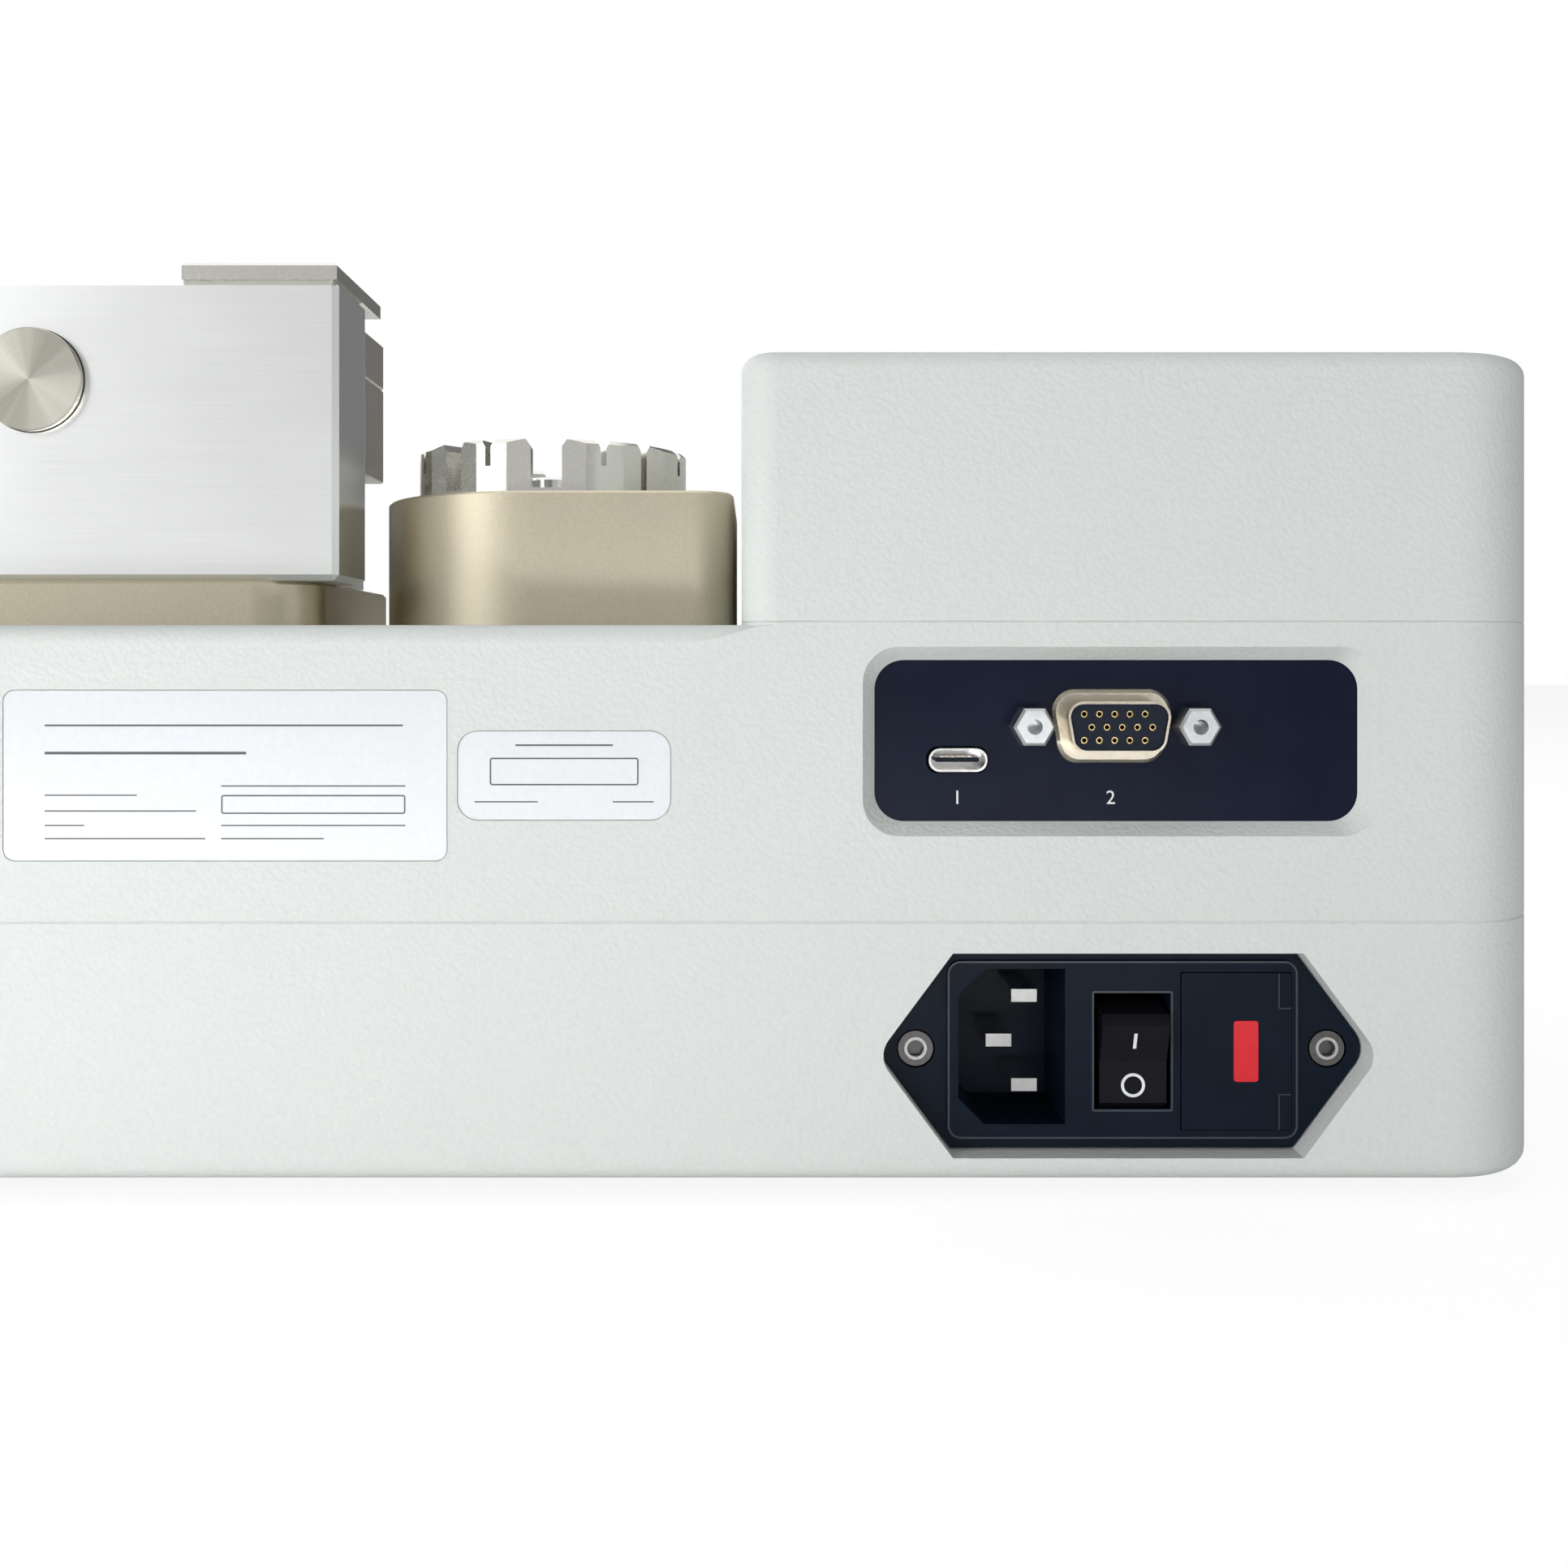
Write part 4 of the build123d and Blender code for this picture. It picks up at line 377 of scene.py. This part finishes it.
# New pieces are made in their own plane and then placed in their mesh
def placeOn(origin, right, up):
    right, up = Vector(right).normalized(), Vector(up).normalized()
    out = right.cross(up)
    return Matrix(((right.x, up.x, out.x, origin[0]), (right.y, up.y, out.y, origin[1]),
                   (right.z, up.z, out.z, origin[2]), (0, 0, 0, 1)))


def rearPlace(x, z, y):
    return Matrix(((-1, 0, 0, x), (0, 0, 1, y), (0, 1, 0, z), (0, 0, 0, 1)))


smoothUpTo = 30  # degrees


def finishPiece(name, bm, where, finish, body):
    bmesh.ops.transform(bm, matrix=where, verts=bm.verts)
    bmesh.ops.recalc_face_normals(bm, faces=bm.faces)
    mesh = bpy.data.meshes.new(name)
    bm.to_mesh(mesh)
    bm.free()
    mesh.shade_smooth()
    mesh.set_sharp_from_angle(angle=math.radians(smoothUpTo))
    piece = bpy.data.objects.new(name, mesh)
    bpy.context.scene.collection.objects.link(piece)
    mesh.materials.append(finishes[finish])
    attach(piece, body)
    return piece


def raiseFaces(bm, faces, depth):
    made = bmesh.ops.extrude_face_region(bm, geom=faces)["geom"]
    raised = [g for g in made if isinstance(g, bmesh.types.BMVert)]
    bmesh.ops.translate(bm, vec=(0, 0, depth), verts=raised)
    return raised


def addSlab(bm, width, height, depth, x=0.0, y=0.0, z=0.0):
    made = bmesh.ops.create_cube(bm, size=1.0)["verts"]
    bmesh.ops.scale(bm, vec=(width, height, depth), verts=made)
    bmesh.ops.translate(bm, vec=(x, y, z + depth / 2), verts=made)


def addRing(bm, outer, inner, depth, x=0.0, y=0.0, segments=40):
    rim = bmesh.ops.create_circle(bm, cap_ends=False, segments=segments, radius=outer)["verts"]
    hole = bmesh.ops.create_circle(bm, cap_ends=False, segments=segments, radius=inner)["verts"]
    loops = list({e for v in rim + hole for e in v.link_edges})
    raised = raiseFaces(bm, bmesh.ops.bridge_loops(bm, edges=loops)["faces"], depth)
    bmesh.ops.translate(bm, vec=(x, y, 0), verts=rim + hole + raised)


# Rounded rectangle drawn as a raised line
def addFrame(bm, width, height, line, depth, radius, x=0.0, y=0.0, steps=6, tightest=0.0001):
    edges, start = [], []
    for inset in (0.0, line):
        w, h, r = width / 2 - inset, height / 2 - inset, max(radius - inset, tightest)
        spots = []
        for corner, (across, up) in enumerate(((1, 1), (-1, 1), (-1, -1), (1, -1))):
            for step in range(steps + 1):
                way = math.radians(90 * corner + 90 * step / steps)
                spot = ((w - r) * across + r * math.cos(way), (h - r) * up + r * math.sin(way), 0)
                spots.append(bm.verts.new(spot))
        edges += [bm.edges.new((spots[i - 1], spots[i])) for i in range(len(spots))]
        start += spots
    raised = raiseFaces(bm, bmesh.ops.bridge_loops(bm, edges=edges)["faces"], depth)
    bmesh.ops.translate(bm, vec=(x, y, 0), verts=start + raised)


def addPrism(bm, corners, depth):
    raiseFaces(bm, [bm.faces.new([bm.verts.new((x, y, 0)) for x, y in corners])], depth)


def numberMesh(text, size, depth):
    curve = bpy.data.curves.new("number", "FONT")
    curve.body = text
    curve.size = size
    curve.extrude = depth / 2
    curve.align_x = "CENTER"
    curve.align_y = "CENTER"
    holder = bpy.data.objects.new("number", curve)
    bpy.context.scene.collection.objects.link(holder)
    bpy.context.view_layer.update()
    mesh = bpy.data.meshes.new_from_object(holder)
    bm = bmesh.new()
    bm.from_mesh(mesh)
    bmesh.ops.remove_doubles(bm, verts=bm.verts, dist=1e-7)
    bpy.data.objects.remove(holder)
    bpy.data.curves.remove(curve)
    bpy.data.meshes.remove(mesh)
    return bm


# Plain numbers under the two data ports
portMarks = {"size": 3.0 * mm, "depth": 0.04 * mm, "below": 61.2 * mm,
             "places": {"1": -86.1 * mm, "2": -109.7 * mm}}


def buildPortMarks():
    v = portMarks
    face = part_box("io_panel")[1].y
    for text, x in v["places"].items():
        bm = numberMesh(text, v["size"], v["depth"])
        finishPiece("port_mark_" + text, bm, rearPlace(x, v["below"], face + v["depth"] / 2), "whiteInk",
                    "chassis")


buildPortMarks()

# The I and O of the mains switch, each on its own facet of the rocker
switchMarks = {"pivot": (-113.2 * mm, 89.3 * mm, 22.1 * mm), "facet": 10.38, "tipped": 11.0, "face": 7.6 * mm,
               "along": 3.7 * mm, "barHigh": 2.7 * mm, "barWide": 0.5 * mm, "ringOut": 1.85 * mm,
               "ringIn": 1.4 * mm, "depth": 0.05 * mm}


def buildSwitchMarks():
    v = switchMarks
    for name, side in (("switch_mark_on", 1), ("switch_mark_off", -1)):
        lean = math.radians(v["tipped"])
        slant = math.radians(v["tipped"] + side * v["facet"])
        crease = Vector((0, math.cos(lean), -math.sin(lean))) * v["face"]
        up = Vector((0, math.sin(slant), math.cos(slant)))
        spot = Vector(v["pivot"]) + crease + up * side * v["along"]
        bm = bmesh.new()
        if side > 0:
            addSlab(bm, v["barWide"], v["barHigh"], v["depth"])
        else:
            addRing(bm, v["ringOut"], v["ringIn"], v["depth"])
        finishPiece(name, bm, placeOn(spot, (-1, 0, 0), up), "whiteInk", "rocker")


buildSwitchMarks()
print("marks made")

# Blank ruled fields on the two rear plates, in mm from each plate's centre: rows as left end, height,
# length and line, boxes as centre, width and height
plateRules = {"depth": 0.02, "boxLine": 0.22, "boxRound": 0.4, "plates": {
    "rating_rules": {"x": 25.5, "z": 64.9, "boxes": [(13.4, -4.4, 28.0, 2.9)], "rows": [
        (-27.4, 7.6, 54.4, 0.28), (-27.4, 3.4, 30.6, 0.42), (-27.4, -3.0, 14.0, 0.2),
        (-27.4, -5.4, 23.0, 0.2), (-27.4, -7.6, 6.0, 0.2), (-27.4, -9.6, 24.4, 0.2),
        (-0.6, -1.6, 28.0, 0.2), (-0.6, -7.6, 28.0, 0.2), (-0.6, -9.6, 15.6, 0.2)]},
    "serial_rules": {"x": -26.0, "z": 64.9, "boxes": [(0.0, 0.6, 22.6, 4.2)], "rows": [
        (-7.4, 4.6, 14.8, 0.26), (-13.6, -4.0, 9.6, 0.2), (7.4, -4.0, 6.2, 0.2)]}}}


def buildPlateRules():
    v = plateRules
    depth = v["depth"] * mm
    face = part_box("rear_plates")[1].y
    for name, plate in v["plates"].items():
        bm = bmesh.new()
        for left, up, length, line in plate["rows"]:
            addSlab(bm, length * mm, line * mm, depth, (left + length / 2) * mm, up * mm)
        for x, up, width, height in plate["boxes"]:
            addFrame(bm, width * mm, height * mm, v["boxLine"] * mm, depth, v["boxRound"] * mm, x * mm,
                     up * mm)
        where = rearPlace(plate["x"] * mm, plate["z"] * mm, face)
        finishPiece(name, bm, where, "greyInk", "chassis")


buildPlateRules()

# Contact sleeves in the fifteen holes of the connector
sleeves = {"x": -109.7, "z": 72.3, "face": 101.95, "pitch": 2.29, "row": 1.98, "perRow": 5, "outer": 0.52,
           "inner": 0.34, "length": 3.0, "sides": 20}


def buildSleeves():
    v = sleeves
    bm = bmesh.new()
    for row, shift in ((1, 0.0), (0, 0.5), (-1, 0.0)):
        for i in range(v["perRow"]):
            x = (shift + i - (v["perRow"] - 1) / 2 - 0.25) * v["pitch"]
            addRing(bm, v["outer"] * mm, v["inner"] * mm, -v["length"] * mm, x * mm, row * v["row"] * mm,
                    v["sides"])
    where = rearPlace(v["x"] * mm, v["z"] * mm, v["face"] * mm)
    finishPiece("connector_contacts", bm, where, "goldContact", "chassis")


# Contacts on both sides of the small port's tongue
pads = {"x": -86.1, "z": 67.1, "front": 97.0, "count": 6, "pitch": 0.85, "wide": 0.42, "thick": 0.05,
        "length": 4.0, "up": 0.36, "in": 0.15}


def buildPads():
    v = pads
    bm = bmesh.new()
    for i in range(v["count"]):
        for side in (-1, 1):
            x = (i - (v["count"] - 1) / 2) * v["pitch"]
            addSlab(bm, v["wide"] * mm, v["thick"] * mm, -v["length"] * mm, x * mm, side * v["up"] * mm,
                    -v["in"] * mm)
    where = rearPlace(v["x"] * mm, v["z"] * mm, v["front"] * mm)
    finishPiece("port_contacts", bm, where, "goldContact", "chassis")


buildSleeves()
buildPads()
print("contacts made")

# Raised lines of the mains inlet: rim of its frame, lip of the switch opening, notches of the fuse drawer and
# the sockets of its two screws. The rim, lip and notch lines are a lighter grey than the black moulding, as
# painted highlights on those edges;
# rim and lip as left, up, width, height and corner radius
inletLines = {"x": -111.7, "z": 22.3, "face": 96.3, "high": 0.14, "frames": [
    ((0.0, 0.0, 54.0, 27.4, 2.0), 0.3), ((1.5, -0.2, 12.5, 18.6, 0.4), 0.32)]}
drawerNotches = {"x": -129.2, "z": 22.1, "wide": 16.9, "tall": 24.1, "notchWide": 1.9, "notchTall": 5.4,
                 "line": 0.16}
screwRings = {"pitch": 63.7, "face": 95.4, "outer": 1.75, "inner": 1.3, "high": 0.12}


def buildInletLines():
    v = inletLines
    high = v["high"] * mm
    bm = bmesh.new()
    for (x, up, width, height, radius), line in v["frames"]:
        addFrame(bm, width * mm, height * mm, line * mm, high, radius * mm, x * mm, up * mm)
    finishPiece("inlet_rim_highlights", bm, rearPlace(v["x"] * mm, v["z"] * mm, v["face"] * mm), "rimHighlightGrey", "chassis")
    n = drawerNotches
    right, top, line = n["wide"] / 2, n["tall"] / 2, n["line"] * mm
    bm = bmesh.new()
    for side in (-1, 1):
        addSlab(bm, n["notchWide"] * mm, line, high, (right - n["notchWide"] / 2) * mm,
                side * (top - n["notchTall"]) * mm)
        addSlab(bm, line, n["notchTall"] * mm, high, (right - n["notchWide"]) * mm,
                side * (top - n["notchTall"] / 2) * mm)
    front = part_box("fuse_drawer")[1].y
    finishPiece("drawer_notch_highlights", bm, rearPlace(n["x"] * mm, n["z"] * mm, front), "rimHighlightGrey", "fuse_drawer")
    r = screwRings
    bm = bmesh.new()
    for side in (-1, 1):
        addRing(bm, r["outer"] * mm, r["inner"] * mm, r["high"] * mm, side * r["pitch"] / 2 * mm)
    where = rearPlace(v["x"] * mm, v["z"] * mm, r["face"] * mm)
    finishPiece("screw_recess_rings", bm, where, "polishedSteel", "chassis")


buildInletLines()

# Return springs of the jaw, as coils in place of the plain sleeves
coils = {"turns": 8, "perTurn": 22, "outer": 5.6, "wire": 0.9, "sides": 10, "axes": (63.2, 98.0),
         "height": 107.5, "keep": 0.79}


def buildCoils():
    v = coils
    low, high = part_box("jaw_springs")
    wire = v["wire"] / 2 * mm
    reach = v["outer"] * mm - wire
    height = v["height"] * mm
    steps = v["turns"] * v["perTurn"]
    length = high.y - low.y - 2 * wire
    bm = bmesh.new()
    for x in v["axes"]:
        section = bmesh.ops.create_circle(bm, cap_ends=False, segments=v["sides"], radius=wire)["verts"]
        bmesh.ops.rotate(bm, cent=(0, 0, 0), matrix=Matrix.Rotation(math.radians(90), 3, "Z"), verts=section)
        bmesh.ops.translate(bm, vec=(x * mm + reach, low.y + wire, height), verts=section)
        edges = list({e for vert in section for e in vert.link_edges})
        bmesh.ops.spin(bm, geom=section + edges, cent=(x * mm, 0, height), axis=(0, 1, 0),
                       dvec=(0, length / steps, 0), angle=v["turns"] * 2 * math.pi, steps=steps,
                       use_duplicate=False)
    piece = finishPiece("jaw_spring_coils", bm, Matrix.Identity(4), "polishedSteel", "clamp_block")
    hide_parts("jaw_springs")
    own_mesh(piece)


buildCoils()
print("springs made")

# The head's sloped face: its centre, its tilt and how far above the centre the screen's centre lies
slope = {"origin": (-115.45, -47.5, 112.85), "tilt": 17.794, "screenUp": 21.0}


def slopePlace(x, y, out):
    tilt = math.radians(slope["tilt"])
    right, up = Vector((1, 0, 0)), Vector((0, math.cos(tilt), math.sin(tilt)))
    spot = (Vector(slope["origin"]) + right * x + up * y + right.cross(up) * out) * mm
    return placeOn(spot, right, up)


# What the screen shows, in mm from its centre: two numbers, a scale with its ticks and two small signs
readings = {"screen_reading": ("0.0", 15.0, 12.0, 5.0), "screen_limit": ("500", 5.0, -28.0, 14.0)}
scale = {"behind": 0.99, "thick": 0.01, "wide": 64.0, "high": 4.0, "y": -11.0, "line": 0.35, "round": 0.5,
         "margin": 0.8, "fill": 0.42, "ticks": 11, "longEvery": 5, "longTick": 2.2, "tick": 1.3,
         "tickWide": 0.3, "tickGap": 0.8, "rule": (76.0, 0.3, 0.0, -5.5),
         "sign": (10.0, 4.0, 0.6, -28.0, 5.5), "dash": (6.0, 1.4, -29.0, 5.5)}


def buildScreen():
    v = scale
    mid, thick = slope["screenUp"], v["thick"] * mm
    for name, (text, size, x, y) in readings.items():
        bm = numberMesh(text, size * mm, thick)
        finishPiece(name, bm, slopePlace(x, mid + y, -v["behind"]), "screenMark", "chassis")
    bm = bmesh.new()
    addFrame(bm, v["wide"] * mm, v["high"] * mm, v["line"] * mm, thick, v["round"] * mm, 0, v["y"] * mm)
    room = v["wide"] - 2 * v["margin"]
    full = room * v["fill"]
    addSlab(bm, full * mm, (v["high"] - 2 * v["margin"]) * mm, thick, (full - room) / 2 * mm, v["y"] * mm)
    for i in range(v["ticks"]):
        tall = v["longTick"] if i % v["longEvery"] == 0 else v["tick"]
        x = (i / (v["ticks"] - 1) - 0.5) * v["wide"]
        y = v["y"] - v["high"] / 2 - v["tickGap"] - tall / 2
        addSlab(bm, v["tickWide"] * mm, tall * mm, thick, x * mm, y * mm)
    for width, height, x, y in (v["rule"], v["dash"]):
        addSlab(bm, width * mm, height * mm, thick, x * mm, y * mm)
    width, height, corner, x, y = v["sign"]
    addFrame(bm, width * mm, height * mm, v["line"] * mm, thick, corner * mm, x * mm, y * mm)
    finishPiece("screen_bars", bm, slopePlace(0, mid, -v["behind"]), "screenMark", "chassis")


# Marks on the keys: place on the slope, corners of the sign, ink and slot
keyMarks = {"depth": 0.03, "top": 1.2, "keys": {
    "key_down": (-14.0, -14.5, [(-3.0, 1.6), (0.0, -2.8), (3.0, 1.6)], "greyInk", "grey_key"),
    "key_up": (14.0, -14.5, [(-3.0, -1.6), (3.0, -1.6), (0.0, 2.8)], "greyInk", "grey_key"),
    "key_start": (-21.0, -35.0, [(-2.2, -3.0), (3.2, 0.0), (-2.2, 3.0)], "whiteInk", "green_key"),
    "key_stop": (21.0, -35.0, [(-2.5, -2.5), (2.5, -2.5), (2.5, 2.5), (-2.5, 2.5)], "whiteInk", "red_key")}}


def buildKeyMarks():
    v = keyMarks
    for key, (x, y, corners, ink, slotName) in v["keys"].items():
        bm = bmesh.new()
        addPrism(bm, [(cx * mm, cy * mm) for cx, cy in corners], v["depth"] * mm)
        finishPiece(key + "_mark", bm, slopePlace(x, y, v["top"]), ink, key)


# Printed lines of the overlay: width, height, line, corner radius and place
overlayLines = {"depth": 0.02, "frames": [
    (90.0, 50.0, 0.3, 2.0, 0.0, 21.0), (103.0, 91.0, 0.3, 3.0, 0.0, 0.0),
    (33.0, 14.0, 0.25, 4.6, -21.0, -35.0), (33.0, 14.0, 0.25, 4.6, 21.0, -35.0)]}


def buildOverlayLines():
    v = overlayLines
    bm = bmesh.new()
    for width, height, line, radius, x, y in v["frames"]:
        addFrame(bm, width * mm, height * mm, line * mm, v["depth"] * mm, radius * mm, x * mm, y * mm)
    finishPiece("overlay_lines", bm, slopePlace(0, 0, 0.0), "whiteInk", "chassis")


buildScreen()
buildKeyMarks()
buildOverlayLines()
print("display made")

# Two small scratches on the back of the head: place, length, width and lean in degrees
scratches = {"thick": 0.02, "lines": [(-103.9, 96.6, 3.4, 0.10, 4.0), (-105.1, 97.2, 2.4, 0.08, -3.0)]}


def buildScratches():
    v = scratches
    bm = bmesh.new()
    for x, z, length, line, lean in v["lines"]:
        made = bmesh.ops.create_cube(bm, size=1.0)["verts"]
        bmesh.ops.scale(bm, vec=(line * mm, length * mm, v["thick"] * mm), verts=made)
        bmesh.ops.rotate(bm, cent=(0, 0, 0), matrix=Matrix.Rotation(math.radians(lean), 3, "Z"), verts=made)
        bmesh.ops.translate(bm, vec=(-x * mm, z * mm, 0), verts=made)
    where = rearPlace(0.0, 0.0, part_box("head_cover")[1].y)
    finishPiece("head_scratches", bm, where, "scuffedWhite", "chassis")


buildScratches()
print("scratches made")

# Camera at the photograph's place: behind the housing, level with the deck
camera = {"focal": 1850.0, "picture": 1932.0, "spot": (-55.2 * mm, 328.0 * mm, 81.6 * mm),
          "vanish": (932.0, 820.0), "sensor": 36.0, "nearest": 0.01}


def setCamera():
    v = camera
    data = bpy.data.cameras.new("rearView")
    data.sensor_width = v["sensor"]
    data.lens = v["focal"] / v["picture"] * v["sensor"]
    data.shift_x = (v["picture"] / 2 - v["vanish"][0]) / v["picture"]
    data.shift_y = (v["vanish"][1] - v["picture"] / 2) / v["picture"]
    data.clip_start = v["nearest"]
    eye = bpy.data.objects.new("rearView", data)
    eye.location = v["spot"]
    eye.rotation_euler = (math.radians(90), 0, math.radians(180))
    bpy.context.scene.collection.objects.link(eye)
    bpy.context.scene.camera = eye


setCamera()

# Soft studio light, a pale floor and a white surround; lamps as place, size and watts
studio = {"floor": 6.0, "floorTone": (0.86, 0.86, 0.855), "floorRough": 0.8, "surround": 0.17,
          "whiteMix": 0.8, "whitePower": 1.12, "aim": (0, 0, 0.08), "lamps": {
              "windowLamp": ((1.5, 1.3, 0.75), (0.9, 0.9), 9.5),
              "backLamp": ((0.1, 1.6, 0.35), (2.6, 1.6), 5.2),
              "topLamp": ((0.1, -0.2, 1.5), (1.6, 1.6), 9.0),
              "fillLamp": ((-1.3, 0.8, 0.5), (0.8, 0.8), 1.6),
              "frontLamp": ((0.9, -1.3, 0.9), (1.5, 1.3), 12.0),
              "tableLamp": ((0.16, 0.26, 0.004), (1.0, 0.02), 0.85)}}
white = (1, 1, 1, 1)


def buildFloor():
    bm = bmesh.new()
    bmesh.ops.create_grid(bm, x_segments=1, y_segments=1, size=studio["floor"])
    mesh = bpy.data.meshes.new("floor")
    bm.to_mesh(mesh)
    bm.free()
    floor = bpy.data.objects.new("floor", mesh)
    bpy.context.scene.collection.objects.link(floor)
    f = Finish("paleFloor", rough=studio["floorRough"], color=studio["floorTone"])
    glow = f.add("ShaderNodeEmission", {}, {"Color": white, "Strength": studio["whitePower"]}).out()
    seen = f.add("ShaderNodeLightPath").out("Is Camera Ray")
    blend = f.add("ShaderNodeMixShader", {}, {0: seen * studio["whiteMix"], 2: glow})
    f.tree.links.new(f.shader.outputs[0], blend.node.inputs[1])
    f.tree.links.new(blend.node.outputs[0], f.tree.nodes["Material Output"].inputs[0])
    mesh.materials.append(f.material)


def buildLamps():
    for name, (spot, size, power) in studio["lamps"].items():
        data = bpy.data.lights.new(name, "AREA")
        data.shape = "RECTANGLE"
        data.size, data.size_y = size
        data.energy = power
        lamp = bpy.data.objects.new(name, data)
        lamp.location = spot
        aim = Vector(studio["aim"]) - Vector(spot)
        lamp.rotation_euler = aim.to_track_quat("-Z", "Y").to_euler()
        lamp.visible_camera = False
        bpy.context.scene.collection.objects.link(lamp)


# The surround lights softly but is seen, also through the lens, as plain white
def buildSurround():
    world = bpy.data.worlds.new("surround")
    world.use_nodes = True
    bpy.context.scene.world = world
    tree = world.node_tree
    soft = tree.nodes["Background"]
    soft.inputs["Color"].default_value = white
    soft.inputs["Strength"].default_value = studio["surround"]
    plain = tree.nodes.new("ShaderNodeBackground")
    plain.inputs["Color"].default_value = white
    path = tree.nodes.new("ShaderNodeLightPath")
    either = tree.nodes.new("ShaderNodeMath")
    either.operation = "MAXIMUM"
    tree.links.new(path.outputs["Is Camera Ray"], either.inputs[0])
    tree.links.new(path.outputs["Is Transmission Ray"], either.inputs[1])
    mixer = tree.nodes.new("ShaderNodeMixShader")
    tree.links.new(either.outputs[0], mixer.inputs[0])
    tree.links.new(soft.outputs[0], mixer.inputs[1])
    tree.links.new(plain.outputs[0], mixer.inputs[2])
    tree.links.new(mixer.outputs[0], tree.nodes["World Output"].inputs[0])


buildFloor()
buildLamps()
buildSurround()
bpy.context.scene.view_settings.view_transform = "Standard"
print("studio set")
